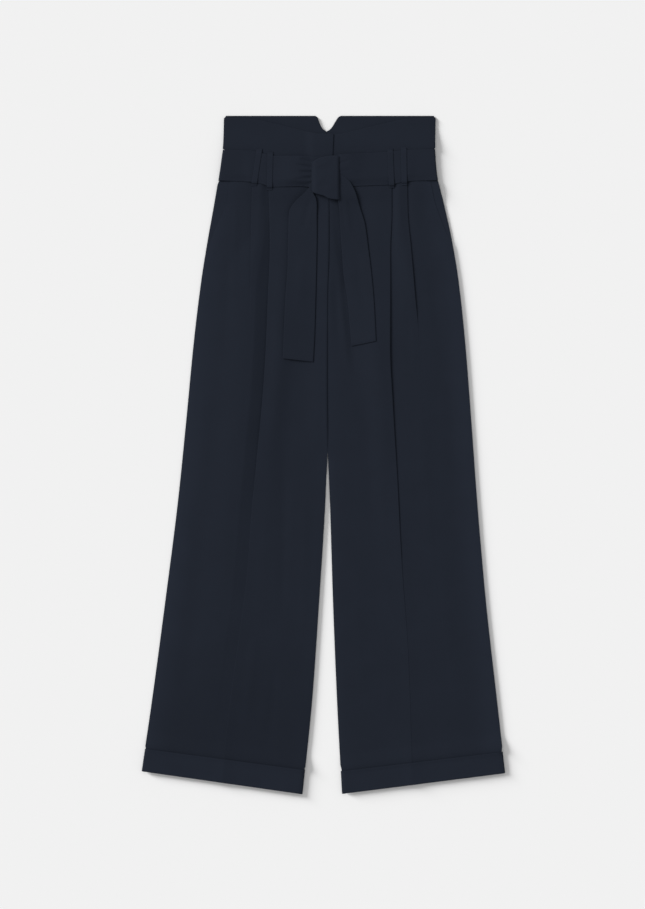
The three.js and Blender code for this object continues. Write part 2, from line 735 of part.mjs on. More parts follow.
// Front stretch of the belt, from the centre to the side, turned down round the waist's edge
function beltFront(side) {
  const shares = [0, 0.25, 0.5, 0.75, 1];
  const edgeDown = (out, share) => {
    const top = lookUp(side.belt, 'out', 'top', out);
    return THREE.MathUtils.lerp(top, lookUp(side.belt, 'out', 'bottom', out), share);
  };
  const grid = shares.map((share) => {
    const line = BELT_OUTS.map((out) => {
      return place(side, out, edgeDown(out, share), beltBase(out, share) + BELT / 2);
    });
    const sideDown = edgeDown(BELT_SIDE_OUT, share);
    const sideOut = lookUp(side.outline, 'down', 'outer', sideDown) - BELT / 2;
    const top = beltBase(BELT_SIDE_OUT, share) + BELT / 2;
    line.push(place(side, sideOut - SIDE_BEND - SIDE_FLAT, sideDown, top));
    for (const angle of [90, 60, 30, 0]) {
      const turn = THREE.MathUtils.degToRad(angle);
      const out = sideOut - SIDE_BEND * (1 - Math.cos(turn));
      line.push(place(side, out, sideDown, top - SIDE_BEND * (1 - Math.sin(turn))));
    }
    line.push(place(side, sideOut, sideDown, SIDE_MIDDLE + GAP / 2));
    return line;
  });
  return wall(grid, BELT);
}

function beltBack() {
  const grid = [0, 0.5, 1].map((share) => {
    const line = [];
    const middle = BACK_BELT_BASE + BELT / 2;
    for (const side of [SIDES.right, SIDES.left]) {
      const top = lookUp(side.belt, 'out', 'top', BELT_SIDE_OUT);
      const bottom = lookUp(side.belt, 'out', 'bottom', BELT_SIDE_OUT);
      const down = THREE.MathUtils.lerp(top, bottom, share);
      const sideOut = lookUp(side.outline, 'down', 'outer', down) - BELT / 2;
      const half = [place(side, sideOut, down, SIDE_MIDDLE - GAP / 2)];
      for (const angle of [0, 30, 60, 90]) {
        const turn = THREE.MathUtils.degToRad(angle);
        const out = sideOut - SIDE_BEND * (1 - Math.cos(turn));
        half.push(place(side, out, down, middle + SIDE_BEND * (1 - Math.sin(turn))));
      }
      BELT_BACK_OUTS.forEach((out) => half.push(place(side, out, down, middle)));
      line.push(...(side.sign < 0 ? half : half.reverse()));
    }
    return line;
  });
  return wall(grid, BELT);
}

// Belt loop: a narrow strip up from one foot, over the belt and down to the other foot
function loopStrip(side, topOut, bottomOut, path) {
  const first = path[0].down;
  const span = path[path.length - 1].down - first;
  const grid = path.map(({ down, z }) => {
    const middle = THREE.MathUtils.lerp(topOut, bottomOut, (down - first) / span);
    return [-0.5, 0, 0.5].map((share) => place(side, middle + share * LOOP_WIDTH, down, z));
  });
  return wall(grid, LOOP);
}

function frontLoop(row) {
  const side = SIDES[row.side];
  const reach = [-LOOP_WIDTH / 2, LOOP_WIDTH / 2];
  const beltTop = reach.map((step) => lookUp(side.belt, 'out', 'top', row.top + step));
  const beltBottom = reach.map((step) => lookUp(side.belt, 'out', 'bottom', row.bottom + step));
  const top = Math.min(...beltTop) - LOOP_ABOVE_BELT;
  const bottom = Math.max(...beltBottom) + LOOP_BELOW_BELT;
  const over = BELT + GAP + LOOP / 2 + LOOP_SLACK;
  const upper = beltBase(row.top, 0) + over;
  const lower = beltBase(row.bottom, 1) + over;
  const bandTop = WAIST_BASE + 2 * BAND + GAP;
  const upperFoot = bandTop + GAP + LOOP / 2;
  const lowerFoot = WAIST_BASE + 4 * CLOTH + 4 * GAP + LOOP / 2;
  return loopStrip(side, row.top, row.bottom, [
    { down: top - LOOP_FRONT_FOOT, z: upperFoot },
    { down: top - LOOP_BEND, z: upperFoot },
    { down: top, z: upperFoot + LOOP_BEND },
    { down: top, z: upper - LOOP_BEND },
    { down: top + LOOP_BEND, z: upper },
    { down: (top + bottom) / 2, z: (upper + lower) / 2 + LOOP_BOW },
    { down: bottom - LOOP_BEND, z: lower },
    { down: bottom, z: lower - LOOP_BEND },
    { down: bottom, z: lowerFoot + LOOP_BEND },
    { down: bottom + LOOP_BEND, z: lowerFoot },
    { down: bottom + LOOP_FRONT_FOOT, z: lowerFoot },
  ]);
}

function backLoop(side) {
  const top = lookUp(side.belt, 'out', 'top', BELT_SIDE_OUT) - LOOP_BEHIND_CLEARANCE;
  const bottom = lookUp(side.belt, 'out', 'bottom', BELT_SIDE_OUT) + LOOP_BEHIND_CLEARANCE;
  const low = LOOP / 2;
  const foot = WAIST_BASE - GAP - LOOP / 2 - LOOP_BOW;
  return loopStrip(side, BACK_LOOP_OUT, BACK_LOOP_OUT, [
    { down: top - LOOP_BACK_FOOT, z: foot },
    { down: top - LOOP_BEND, z: foot },
    { down: top, z: foot - LOOP_BEND },
    { down: top, z: low + LOOP_BEND },
    { down: top + LOOP_BEND, z: low },
    { down: bottom - LOOP_BEND, z: low },
    { down: bottom, z: low + LOOP_BEND },
    { down: bottom, z: foot - LOOP_BEND },
    { down: bottom + LOOP_BEND, z: foot },
    { down: bottom + LOOP_BACK_FOOT, z: foot },
  ]);
}

// Knot: rounded sections, fuller in the middle
function knot() {
  const rounded = (value) => Math.sign(value) * Math.abs(value) ** KNOT_POWER;
  const rings = KNOT.map((row) => {
    const middle = (row.to + row.from) / 2;
    const half = (row.to - row.from) / 2;
    return Array.from({ length: KNOT_POINTS }, (_, i) => {
      const angle = (2 * Math.PI * i) / KNOT_POINTS;
      const out = middle + half * rounded(Math.cos(angle));
      const z = row.base + (row.height / 2) * (1 + rounded(Math.sin(angle)));
      return place(SIDES.right, out, row.down, z);
    });
  });
  return loft(rings);
}

// Belt end: lies on the front panel below and comes off it towards the knot
function tail(side) {
  const grid = side.tail.map((row) => {
    return spread(0, 1, 5).map((share) => {
      const out = THREE.MathUtils.lerp(row.near, row.far, share);
      const down = THREE.MathUtils.lerp(row.nearDown, row.farDown, share);
      const base = backBase(down, side.hemOuter) + 2 * CLOTH + GAP;
      const lain = base + upperRise(side, out, down) + GAP + row.lift;
      const raised = BELT_CENTRE_BASE + BELT + GAP;
      const high = THREE.MathUtils.lerp(lain, raised, faded(TAIL_LIFT_FADE, down));
      return place(side, out, down, high + TAIL / 2);
    });
  });
  return wall(grid, TAIL);
}

const material = () => new THREE.MeshStandardMaterial({ color: COLOUR, roughness: 0.9, metalness: 0 });
const trousers = new THREE.Group();

function add(name, geometry) {
  const mesh = new THREE.Mesh(geometry, material());
  mesh.name = name;
  trousers.add(mesh);
}

for (const side of Object.values(SIDES)) {
  add(`front_leg_${side.name}`, frontLeg(side));
  add(`back_leg_${side.name}`, backLeg(side));
  add(`pocket_bearer_${side.name}`, pocketBearer(side));
  add(`waistband_front_${side.name}`, frontBand(side));
  add(`waistband_back_${side.name}`, backBand(side));
  add(`cuff_${side.name}`, cuff(side));
  add(`belt_front_${side.name}`, beltFront(side));
  add(`belt_loop_back_${side.name}`, backLoop(side));
  add(`belt_tail_${side.name}`, tail(side));
}
FRONT_LOOPS.forEach((row, i) => add(`belt_loop_front_${i + 1}`, frontLoop(row)));
add('fly_underlap', flyUnderlap());
add('belt_back', beltBack());
add('belt_knot', knot());

export default trousers;
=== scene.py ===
"""Looks of a pair of crepe trousers laid flat, front side up, with the waist towards +Y.

Lengths in tables are millimetres: "down" is measured from the back waistband's top edge, and "out" from the
centre line towards the side seam. Right and left are the wearer's, so the right leg lies on the -X side.
"""
import math

import bmesh
import bpy
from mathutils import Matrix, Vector, noise


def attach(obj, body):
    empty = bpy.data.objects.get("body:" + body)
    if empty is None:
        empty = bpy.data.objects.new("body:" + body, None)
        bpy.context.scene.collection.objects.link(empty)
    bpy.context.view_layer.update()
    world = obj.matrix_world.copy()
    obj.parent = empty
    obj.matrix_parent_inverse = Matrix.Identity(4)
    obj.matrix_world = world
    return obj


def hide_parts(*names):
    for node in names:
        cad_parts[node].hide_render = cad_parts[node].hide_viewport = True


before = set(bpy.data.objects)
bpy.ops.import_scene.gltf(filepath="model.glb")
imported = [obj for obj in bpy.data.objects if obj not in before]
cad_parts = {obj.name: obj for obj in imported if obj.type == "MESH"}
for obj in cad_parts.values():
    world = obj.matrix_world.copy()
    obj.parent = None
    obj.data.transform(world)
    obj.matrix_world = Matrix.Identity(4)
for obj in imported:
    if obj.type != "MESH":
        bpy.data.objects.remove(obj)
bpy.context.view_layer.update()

MM = 0.001

# The photograph's framing in its own pixels, and how much cloth one pixel shows
FRAME_WIDTH, FRAME_HEIGHT = 645, 909
OUTLINE_MIDDLE_X, OUTLINE_MIDDLE_Y = 323.6, 454.95
PIXEL = 1.62
SENSOR = 36.0

# The stage in metres, and how far below the cloth the floor lies, in millimetres
CAMERA_HEIGHT, SUN_DISTANCE, FLOOR_HALF = 4.0, 2.0, 6.0
FLOOR_DROP = 0.2

# Room for each layer of cloth and the gap between neighbouring pieces, as in the solids
CLOTH = 1.0
BAND = 1.6
BELT = 1.6
CUFF = 1.2
LOOP = 1.0
TAIL = 1.3
GAP = 0.3

# Real sheets are thinner than the solids that hold their places
LEG_SHEET = 0.7
BAND_SHEET = 1.4
BELT_SHEET = 0.9
CUFF_SHEET = 1.0
LOOP_SHEET = 0.7
TAIL_SHEET = 1.0

# Main places
TOP_Y = 549
CENTRE_X = 9.1
WAIST_SEAM = 96
BAND_BOTTOM, PANEL_TOP = WAIST_SEAM - GAP / 2, WAIST_SEAM + GAP / 2
CROTCH = 543
FLY_END = 250

# Turn-ups: how deep the solids' are, how much of each shows, and how far above the hem the panels end
TURN_UP = 37
TURN_UP_SEEN = {"right": 36.5, "left": 34.4}
PANEL_ENDS = {"right": 0.4, "left": 3.2}

# Undersides of layers; at the waist they are a little lower than in the solids, by what thinner sheets save
BACK_BELT_BASE = 0.7
WAIST_BASE = 2.2
CUFF_BASE = CUFF + GAP
BELT_CENTRE_BASE = 8.0
BELT_UPPER_BASE, BELT_LOWER_BASE = 6.3, 7.6
BELT_SIDE_BASE = BELT_UPPER_BASE - 0.2
SIDE_MIDDLE = 4.25

FOLD_STEPS = 8
PLEAT_RAMP = 44
PLEATS_APART = 2
CROWN_REACH, CROWN_WIDTH = 22, 16
# The lower layer's rise outside a pleat is full at one place and falls between two more; these lie close to
# the edge at the waist and move out between two depths
VALLEY = {"waist": (8, 10, 32), "leg": (20, 30, 92)}
VALLEY_OPENS = (170, 290)
VALLEY_ROUNDNESS = 0.25
CREASE_HEIGHT = 0.8
CREASE_REACH = 16

SEAM_ROLL = 4
SEAM_CLOSED = 0.14
POCKET_RISE = 0.5
# Stiff layers follow the slow waves less
WAVE_HEIGHT = 0.8
STIFF_SHARE = 0.6
# The front panel sinks no further than the back panel lets it
LOWEST_RISE = -0.5
SINK_SOFTNESS = 0.4

BELT_INSET = 2.9
BELT_SIDE_OUT = 180
BELT_BULGE = 2.6
BELT_LIFT = 1.3
BELT_DIP_START = 0.74
SIDE_BEND = 2.6
LOOP_WIDTH = 9

NAVY = "1C212B"
CREPE_PEBBLE, CREPE_HANDLED = 1.3, 45
CREPE_ROUGHNESS = 0.85
# Painted highlight on the pocket bearers beside the pocket edges
POCKET_PAINTED_HIGHLIGHT = 1.12
# Painted highlight: the turn-ups are drawn lighter than the legs of the same cloth
CUFF_PAINTED_HIGHLIGHT = 1.05


def table(columns, *rows):
    names = columns.split()
    return [dict(zip(names, row)) for row in rows]


def crease_table(*rows):
    """Soft troughs and ridges, each along a line; a trough's depth is negative."""
    return table("from_out from_down to_out to_down width depth", *rows)


def pleat_table(*rows):
    """A knife pleat: its edge, the cloth folded under it, how far and how wide the fold turns, how much the
    upper layer swells inside the edge, and how much the lower layer rises again outside it.
    """
    return table("down edge under turn radius crown valley", *rows)


OUTLINE = {
    "right": table(
        "down outer",
        (0, 170.3), (45, 171.6), (71, 174.8), (97, 178.5), (149, 187.4), (201, 196.7), (266, 207.1),
        (363, 218.95), (493, 231.55), (622, 244.75), (784, 265.25), (946, 286.95), (1062, 303.85),
    ),
    "left": table(
        "down outer",
        (0, 172.4), (45, 171.6), (71, 172.7), (97, 175.3), (149, 187.3), (201, 198.6), (266, 209.3),
        (363, 219.8), (493, 230.0), (622, 239.4), (784, 253.5), (946, 271.6), (1064, 284.9),
    ),
}
INSEAM = table(
    "down right left",
    (96, 0.8, -0.5), (215, 0.9, -0.6), (290, 3.1, -2.8), (430, 3.6, -3.3), (543, 2.7, -2.4), (557, 3.1, -1.7),
    (590, 4.8, -0.3), (622, 6.1, 1.0), (784, 16.2, 6.0), (946, 27.6, 12.6), (1098, 43.2, 20.6),
)
PLEATS = {
    "right": [
        pleat_table(
            (96, 99.3, 19, 180, 0.50, 0.0, 0.2), (165, 97.0, 19, 180, 0.45, 0.5, 1.2),
            (210, 96.4, 18, 180, 0.45, 1.2, 2.4), (295, 99.6, 15, 180, 0.45, 2.3, 4.0),
            (375, 102.8, 11, 180, 0.45, 2.7, 5.1), (460, 108.5, 6, 180, 0.45, 2.2, 5.0),
            (560, 118.0, 0, 150, 0.45, 1.2, 4.4), (640, 125.5, 0, 60, 0.45, 0.9, 3.8),
            (740, 133.3, 0, 30, 0.50, 0.6, 3.0), (946, 160.4, 0, 30, 0.60, 0.3, 1.4),
            (1080, 176.0, 0, 30, 0.60, 0.0, 0.0),
        ),
        pleat_table(
            (96, 124.5, 11, 180, 0.45, 0, 0), (157, 126.2, 9, 180, 0.45, 0, 0.3),
            (215, 127.2, 4, 180, 0.45, 0, 0.4), (260, 127.4, 0, 150, 0.45, 0, 0.3),
            (310, 128.0, 0, 30, 0.45, 0, 0), (400, 133.0, 0, 12, 0.45, 0, 0),
            (1080, 205.0, 0, 12, 0.45, 0, 0),
        ),
    ],
    "left": [
        pleat_table(
            (96, 101.3, 19, 180, 0.36, 0.0, 1.3), (157, 101.6, 19, 180, 0.36, 0.2, 1.5),
            (217, 99.3, 18, 180, 0.45, 0.3, 1.3), (295, 99.3, 16, 180, 0.70, 0.4, 0.6),
            (375, 99.0, 14, 180, 0.95, 0.7, 0.6), (460, 103.0, 10, 180, 0.75, 0.9, 0.6),
            (595, 111.0, 4, 180, 0.44, 0.6, 0.5), (675, 115.0, 0, 150, 0.42, 0.3, 0.4),
            (740, 119.1, 0, 60, 0.75, 0.2, 0.3), (870, 128.6, 0, 45, 0.80, 0.0, 0.2),
            (1080, 136.0, 0, 40, 0.80, 0.0, 0.0),
        ),
        pleat_table(
            (96, 126.2, 11, 180, 0.36, 0, 0.8), (157, 127.6, 9, 180, 0.38, 0, 0.8),
            (212, 132.5, 6, 180, 0.55, 0, 0.5), (298, 140.1, 0, 150, 0.70, 0, 0.3),
            (345, 144.7, 0, 40, 0.60, 0, 0), (400, 147.0, 0, 12, 0.50, 0, 0),
            (1080, 205.0, 0, 12, 0.45, 0, 0),
        ),
    ],
}
# Centre front: how far the right panel's edge stands over the left one's, and how far both swell
CENTRE = table(
    "down step swell",
    (96, 0.7, 0), (125, 0.8, 0.2), (165, 1.2, 2.2), (190, 1.3, 2.8), (250, 1.2, 2.7), (270, 1.0, 2.6),
    (320, 0.9, 2.0), (370, 1.7, 0.7), (430, 2.1, 0), (500, 2.0, 0), (530, 1.0, 0), (548, 0, 0),
)
LEG_CREASES = {
    "right": crease_table(
        (72, 540, 76, 830, 8, -0.9), (86, 880, 99, 1030, 7, -0.6), (162, 220, 172, 420, 9, -0.5),
        (150, 130, 156, 300, 6, 0.4), (196, 420, 214, 640, 10, 0.4), (60, 250, 62, 420, 7, -0.4),
        (38, 600, 44, 900, 9, 0.4), (205, 640, 236, 960, 12, -0.4), (118, 820, 138, 1010, 6, 0.35),
        (26, 105, 72, 169, 4.5, -1.8),
    ),
    "left": crease_table(
        (134, 330, 139, 430, 4, 0.35), (168, 250, 176, 370, 8, -0.4), (14, 165, 42.5, 436, 6.5, -1.3),
        (5, 165, 33.5, 436, 6.5, 0.9), (60, 420, 70, 700, 12, -0.4), (150, 470, 166, 760, 9, 0.3),
        (196, 420, 204, 620, 9, -0.35),
        (40, 700, 56, 1000, 10, 0.35), (180, 700, 206, 980, 11, 0.4), (112, 130, 113, 240, 4, 0.25),
    ),
}
# Gathers of the belt beside the knot
BELT_CREASES = {
    "right": crease_table(
        (24, 76, 50, 70, 2.2, -1.0), (24, 84, 58, 79, 1.8, -1.3), (24, 92, 52, 91, 1.6, -1.4),
        (24, 100, 60, 104, 2.0, -1.2), (24, 108, 48, 114, 2.0, -1.3), (24, 88, 44, 86, 1.2, 0.7),
        (24, 96, 46, 97, 1.2, 0.8), (24, 104, 44, 109, 1.2, 0.7),
    ),
    "left": crease_table(
        (12, 78, 34, 73, 2.0, -0.6), (12, 90, 40, 88, 2.4, -0.5), (12, 100, 32, 105, 2.0, -0.6),
    ),
}
TAIL_CREASES = {
    "right": crease_table(
        (14, 116, 34, 126, 2.2, -0.8), (30, 130, 44, 190, 5, -0.6), (44, 220, 50, 330, 8, 0.5),
    ),
    "left": crease_table(
        (14, 116, 40, 150, 3.0, -0.9), (24, 128, 34, 200, 5, 0.6), (44, 210, 56, 330, 8, -0.5),
    ),
}
KNOT_CREASES = crease_table(
    (27, 116, 2, 96, 4, 0.35), (24, 84, -4, 74, 4, 0.3), (10, 124, -14, 112, 4, 0.3),
    (20, 100, -12, 92, 5, 0.25),
)
# Pocket openings: the front panel's slanted edge
POCKET = {
    "right": table("down outer", (96, 161.0), (141, 166.0), (168, 178.2), (225, 200.7)),
    "left": table("down outer", (96, 162.0), (139, 170.9), (176, 184.0), (214, 201.5)),
}
# Top edge of the front bands, and the back bands' edges at the notch
FRONT_TOP = table(
    "out down", (-20, 29.2), (14, 29.2), (47, 22.5), (90, 12.0), (130, 4.5), (175, 3.0),
)
NOTCH = table(
    "down right left",
    (0, 22.5, 19.0), (1.5, 19.6, 15.4), (9.7, 16.2, 9.7), (16.2, 13.6, 5.8), (20.5, 10.8, 2.6),
    (23.5, 7.4, -0.9), (25.1, 4.2, -3.9), (96, 4.2, -3.9),
)
BELT_EDGES = {
    "right": table(
        "out top bottom",
        (0, 66.5, 117), (20, 67.0, 117), (45, 65.6, 114.5), (92, 65.0, 115.5), (112, 60.0, 110.0),
        (130, 56.5, 107.0), (185, 55.5, 105.0),
    ),
    "left": table(
        "out top bottom",
        (0, 65.5, 117), (20, 63.0, 116), (45, 61.5, 114.0), (98, 58.5, 112.0), (118, 56.5, 108.0),
        (135, 55.5, 105.8), (185, 54.0, 104.5),
    ),
}
# A loop's place at its top and bottom, how deep it presses into the belt, and its painted highlight, how much
# lighter than the belt it is drawn
FRONT_LOOPS = table(
    "side top bottom press tone",
    ("right", 112.8, 121.8, 0.55, 1.05), ("right", 95.3, 96.8, 0.5, 1.04),
    ("left", 98.6, 101.0, 0.1, 1.0), ("left", 120.6, 121.4, 0.15, 1.06),
)
BACK_LOOP_OUT = 80
# Belt ends: both long edges, from the knot down, and how far the knot holds them up
TAILS = {
    "right": table(
        "near_down near far_down far lift",
        (112, 14.0, 104, 26.0, 4.6), (124, 26.0, 117, 32.6, 4.6), (134, 21.6, 128, 43.0, 4.2),
        (146, 20.0, 140, 56.0, 3.2), (162, 20.2, 157, 65.0, 1.9), (190, 19.9, 190, 66.6, 0.6),
        (243, 20.7, 243, 67.6, 0.4), (300, 22.2, 299, 71.4, 0.2), (350, 23.6, 347, 73.6, 0),
        (398.4, 26.0, 393, 75.4, 0),
    ),
    "left": table(
        "near_down near far_down far lift",
        (122, 4.0, 94, 15.0, 4.6), (127, 8.0, 99, 25.0, 4.6), (134, 12.5, 107, 33.2, 4.6),
        (145, 15.4, 122, 41.6, 4.4), (160, 16.6, 148, 49.6, 3.0), (182, 17.8, 176, 58.0, 1.6),
        (215, 20.0, 212, 63.0, 0.7), (256, 22.8, 254, 68.2, 0.2), (300, 29.4, 298, 72.2, 0),
        (373, 35.8, 365, 75.8, 0),
    ),
}
SIGN = {"right": -1, "left": 1}
HEM_OUTER = {"right": 1061, "left": 1064}
HEM_INNER = {"right": 1098, "left": 1097.5}
# Front bands: where each ends past the centre, at its top and bottom, and how far it stands over the other
BAND_END = {"right": (-7.3, -4.3), "left": (-17, -17)}
BAND_RISE = {"right": BAND + GAP, "left": 0}


def mix(a, b, share):
    return a + (b - a) * share


def ramp(a, b, value):
    """Smooth step from 0 at a to 1 at b, which may be the lower of the two."""
    t = min(1, max(0, (value - a) / (b - a)))
    return t * t * (3 - 2 * t)


def ramp_from(origin, span, value):
    """Smooth step over a span that is measured from an origin."""
    return ramp(origin + span[0], origin + span[1], value)


def look_up(rows, column, place):
    """Smooth value of one column of a table, at a place along its first column."""
    key = next(iter(rows[0]))
    last = len(rows) - 1
    at = min(rows[last][key], max(rows[0][key], place))
    i = 0
    while i < last - 1 and at > rows[i + 1][key]:
        i += 1

    def slope(a, b):
        return (rows[b][column] - rows[a][column]) / (rows[b][key] - rows[a][key])

    def gentle(a, b):
        return 0 if a * b <= 0 else 2 * a * b / (a + b)

    span = rows[i + 1][key] - rows[i][key]
    here = slope(i, i + 1)
    start_slope = gentle(slope(i - 1, i), here) if i > 0 else here
    end_slope = gentle(here, slope(i + 1, i + 2)) if i < last - 1 else here
    t = (at - rows[i][key]) / span
    u = 1 - t
    return (
        rows[i][column] * u * u * (1 + 2 * t)
        + rows[i + 1][column] * t * t * (3 - 2 * t)
        + span * (start_slope * t * u * u - end_slope * t * t * u)
    )


def outline(side, down):
    return look_up(OUTLINE[side], "outer", down)


def inseam(side, down):
    return look_up(INSEAM, side, down)


def pocket_edge(side, down):
    return look_up(POCKET[side], "outer", down)


def pocket_end(side):
    return POCKET[side][-1]["down"]


def crease_at(side, down):
    """Place of the pressed crease, which runs on from the first pleat's edge."""
    return look_up(PLEATS[side][0], "edge", down)


def spread(start, end, count):
    return [mix(start, end, i / (count - 1)) for i in range(count)]


def spreads(*parts):
    return [at for part in parts for at in spread(*part)]


def soft_max(a, b, softness):
    return (a + b + math.hypot(a - b, softness)) / 2


def place(side, out, down, z):
    return Vector((CENTRE_X + SIGN[side] * out, TOP_Y - down, z)) * MM


# Camera

def add_camera():
    data = bpy.data.cameras.new("camera")
    data.sensor_width = SENSOR
    data.lens = SENSOR * CAMERA_HEIGHT / (FRAME_HEIGHT * PIXEL * MM)
    camera = bpy.data.objects.new("camera", data)
    x = (FRAME_WIDTH / 2 - OUTLINE_MIDDLE_X) * PIXEL * MM
    y = (OUTLINE_MIDDLE_Y - FRAME_HEIGHT / 2) * PIXEL * MM
    camera.location = (x, y, CAMERA_HEIGHT)
    bpy.context.collection.objects.link(camera)
    bpy.context.scene.camera = camera


# Materials

def linear(colour, alpha=1.0):
    """An sRGB hex value as the linear colour that Blender uses."""
    channels = [int(colour[i : i + 2], 16) / 255 for i in (0, 2, 4)]
    return [c / 12.92 if c <= 0.04045 else ((c + 0.055) / 1.055) ** 2.4 for c in channels] + [alpha]


def add_node(tree, kind, settings=None, links=None):
    """A node with its settings and sockets; a link is a pair of node and output name."""
    node = tree.nodes.new(kind)
    for name, value in (settings or {}).items():
        if isinstance(name, int) or name in node.inputs:
            node.inputs[name].default_value = value
        else:
            setattr(node, name, value)
    for name, (source, output) in (links or {}).items():
        tree.links.new(source.outputs[output], node.inputs[name])
    return node


def new_material(name):
    material = bpy.data.materials.new(name)
    material.use_nodes = True
    material.node_tree.nodes.clear()
    return material, material.node_tree


def woven_crepe(name, relief):
    """Polyester crepe from high-twist yarns: matt, with a fine uneven pebble and hardly any gloss."""
    material, tree = new_material(name)
    coordinates = add_node(tree, "ShaderNodeTexCoord")
    # Painted light and shade, a factor kept at each point of the cloth, scales the dye
    tone = add_node(tree, "ShaderNodeAttribute", {"attribute_name": "tone"})
    # Pebble of the twisted yarns, drawn about twice as coarse as it is so that it shows
    pebble = add_node(
        tree, "ShaderNodeTexNoise",
        {"Scale": 1 / (CREPE_PEBBLE * MM), "Detail": 3.0, "Roughness": 0.65},
        {"Vector": (coordinates, "Object")},
    )
    # Soft unevenness of cloth that has been pressed and handled
    handled = add_node(
        tree, "ShaderNodeTexNoise",
        {"Scale": 1 / (CREPE_HANDLED * MM), "Detail": 2.0, "Roughness": 0.5},
        {"Vector": (coordinates, "Object")},
    )
    bump = add_node(
        tree, "ShaderNodeBump", {"Strength": 1.0, "Distance": relief * MM}, {"Height": (pebble, "Fac")},
    )
    grain = add_node(
        tree, "ShaderNodeMapRange",
        {"From Min": 0.3, "From Max": 0.7, "To Min": 0.94, "To Max": 1.06},
        {"Value": (pebble, "Fac")},
    )
    cloud = add_node(
        tree, "ShaderNodeMapRange",
        {"From Min": 0.3, "From Max": 0.7, "To Min": 0.975, "To Max": 1.025},
        {"Value": (handled, "Fac")},
    )
    both = add_node(
        tree, "ShaderNodeMath", {"operation": "MULTIPLY"}, {0: (grain, "Result"), 1: (cloud, "Result")},
    )
    grain_and_painted_light = add_node(
        tree, "ShaderNodeMath", {"operation": "MULTIPLY"}, {0: (both, "Value"), 1: (tone, "Fac")},
    )
    dye_with_painted_light = add_node(
        tree, "ShaderNodeVectorMath", {"operation": "SCALE", 0: linear(NAVY)[:3]},
        {"Scale": (grain_and_painted_light, "Value")},
    )
    shader = add_node(
        tree, "ShaderNodeBsdfPrincipled",
        {
            "Roughness": CREPE_ROUGHNESS,
            "IOR": 1.45,
            "Specular IOR Level": 0.12,
            "Sheen Weight": 0.02,
            "Sheen Roughness": 0.5,
            "Sheen Tint": linear("8FA0C0"),
        },
        {"Base Color": (dye_with_painted_light, "Vector"), "Normal": (bump, "Normal")},
    )
    add_node(tree, "ShaderNodeOutputMaterial", None, {"Surface": (shader, "BSDF")})
    return material


MATERIALS = {
    "crepe": woven_crepe("polyester_crepe_woven", relief=0.10),
    "waistband_crepe": woven_crepe("polyester_crepe_fused_and_pressed", relief=0.08),
    "belt_crepe": woven_crepe("polyester_crepe_doubled_and_pressed", relief=0.09),
}


# Heights, as in the solids

# Spans across or down the cloth in which a height comes or goes
WAIST_LEVELS_OUT = (112, 146)
BAND_LIFTS = (14, 50)
FLY_FADES = (15, 31)
SWELL_FADES = {"right": (8, 58), "left": (0, 16)}
STEP_FADES = (14, 44)
CREASE_STARTS = (480, 700)
# Spans from the turn-up's line, the fly's end, the pocket's edge and its end, the belt's edges and the crotch
CUFF_LIFTS = (-30, -3)
FLY_ENDS = (14, 44)
POCKET_SWELLS, POCKET_ENDS = (-52, -18), (6, 30)
BELT_LETS_GO = (0.4, 2.8)
CUFF_DRAWS_IN = (-4, 0)
SEAM_OPENS = (-20, 0)
CUFF_EASE = 0.4
# The left panel swells less, and the right one's edge rolls down a little
LEFT_SWELL_SHARE = 0.8
EDGE_ROLL_SHARE, EDGE_ROLL_REACH = 0.35, 2.2
# Creases end this many widths off their line, and fade in and out over these shares of their length
CREASE_WIDTHS = 2.5
FADE_IN, FADE_OUT = (0, 0.25), (0.65, 1)
# Broad and small waves: size across and down, layer of the noise, and share of the height
WAVES = table("across down layer share", (75, 260, 3.1, 0.45), (30, 110, 7.7, 0.15))


def back_base(down, hem):
    """Height of the back panel's underside."""
    waist = WAIST_BASE * (1 - ramp(*WAIST_LEVELS_OUT, down))
    return waist + CUFF_BASE * ramp_from(hem - TURN_UP, CUFF_LIFTS, down)


def band_base(down):
    """Height of the back bands' underside."""
    return WAIST_BASE * ramp(*BAND_LIFTS, down)


def fly_rise(out, down):
    return (CLOTH + GAP) * (1 - ramp(*FLY_FADES, out)) * (1 - ramp_from(FLY_END, FLY_ENDS, down))


def pocket_rise(side, out, down):
    fade = 1 - ramp_from(pocket_end(side), POCKET_ENDS, down)
    return POCKET_RISE * ramp_from(pocket_edge(side, down), POCKET_SWELLS, out) * fade


def centre_rise(side, out, down):
    """Centre front: the right panel's edge stands over the left one's, and both swell over the fly."""
    swell = look_up(CENTRE, "swell", down)
    swell_share = 1 - ramp(*SWELL_FADES[side], out)
    if side == "left":
        return LEFT_SWELL_SHARE * swell * swell_share
    rolled = EDGE_ROLL_SHARE * (1 - ramp(0, EDGE_ROLL_REACH, out - inseam(side, down)))
    step = look_up(CENTRE, "step", down) * (1 - rolled)
    return swell * swell_share + step * (1 - ramp(*STEP_FADES, out))


def crease_height(rows, out, down):
    """Height of soft troughs and ridges that run along lines and fade out at both ends."""
    total = 0
    for row in rows:
        along_out, along_down = row["to_out"] - row["from_out"], row["to_down"] - row["from_down"]
        length = math.hypot(along_out, along_down)
        past_out, past_down = out - row["from_out"], down - row["from_down"]
        share = (past_out * along_out + past_down * along_down) / length ** 2
        across = abs(past_out * along_down - past_down * along_out) / length
        if 0 < share < 1 and across < CREASE_WIDTHS * row["width"]:
            fade = ramp(*FADE_IN, share) * (1 - ramp(*FADE_OUT, share))
            total += row["depth"] * math.exp(-((across / row["width"]) ** 2)) * fade
    return total


def wave(side, out, down):
    """Slow rise and fall of cloth that lies loosely, never below its flat place."""
    share = 0.5
    for row in WAVES:
        at = Vector((SIGN[side] * out / row["across"], down / row["down"], row["layer"]))
        share += row["share"] * noise.noise(at)
    return WAVE_HEIGHT * min(1, max(0, share))


def crease_rise(side, out, down):
    away = abs(out - crease_at(side, down))
    return CREASE_HEIGHT * ramp(*CREASE_STARTS, down) * max(0, 1 - away / CREASE_REACH)


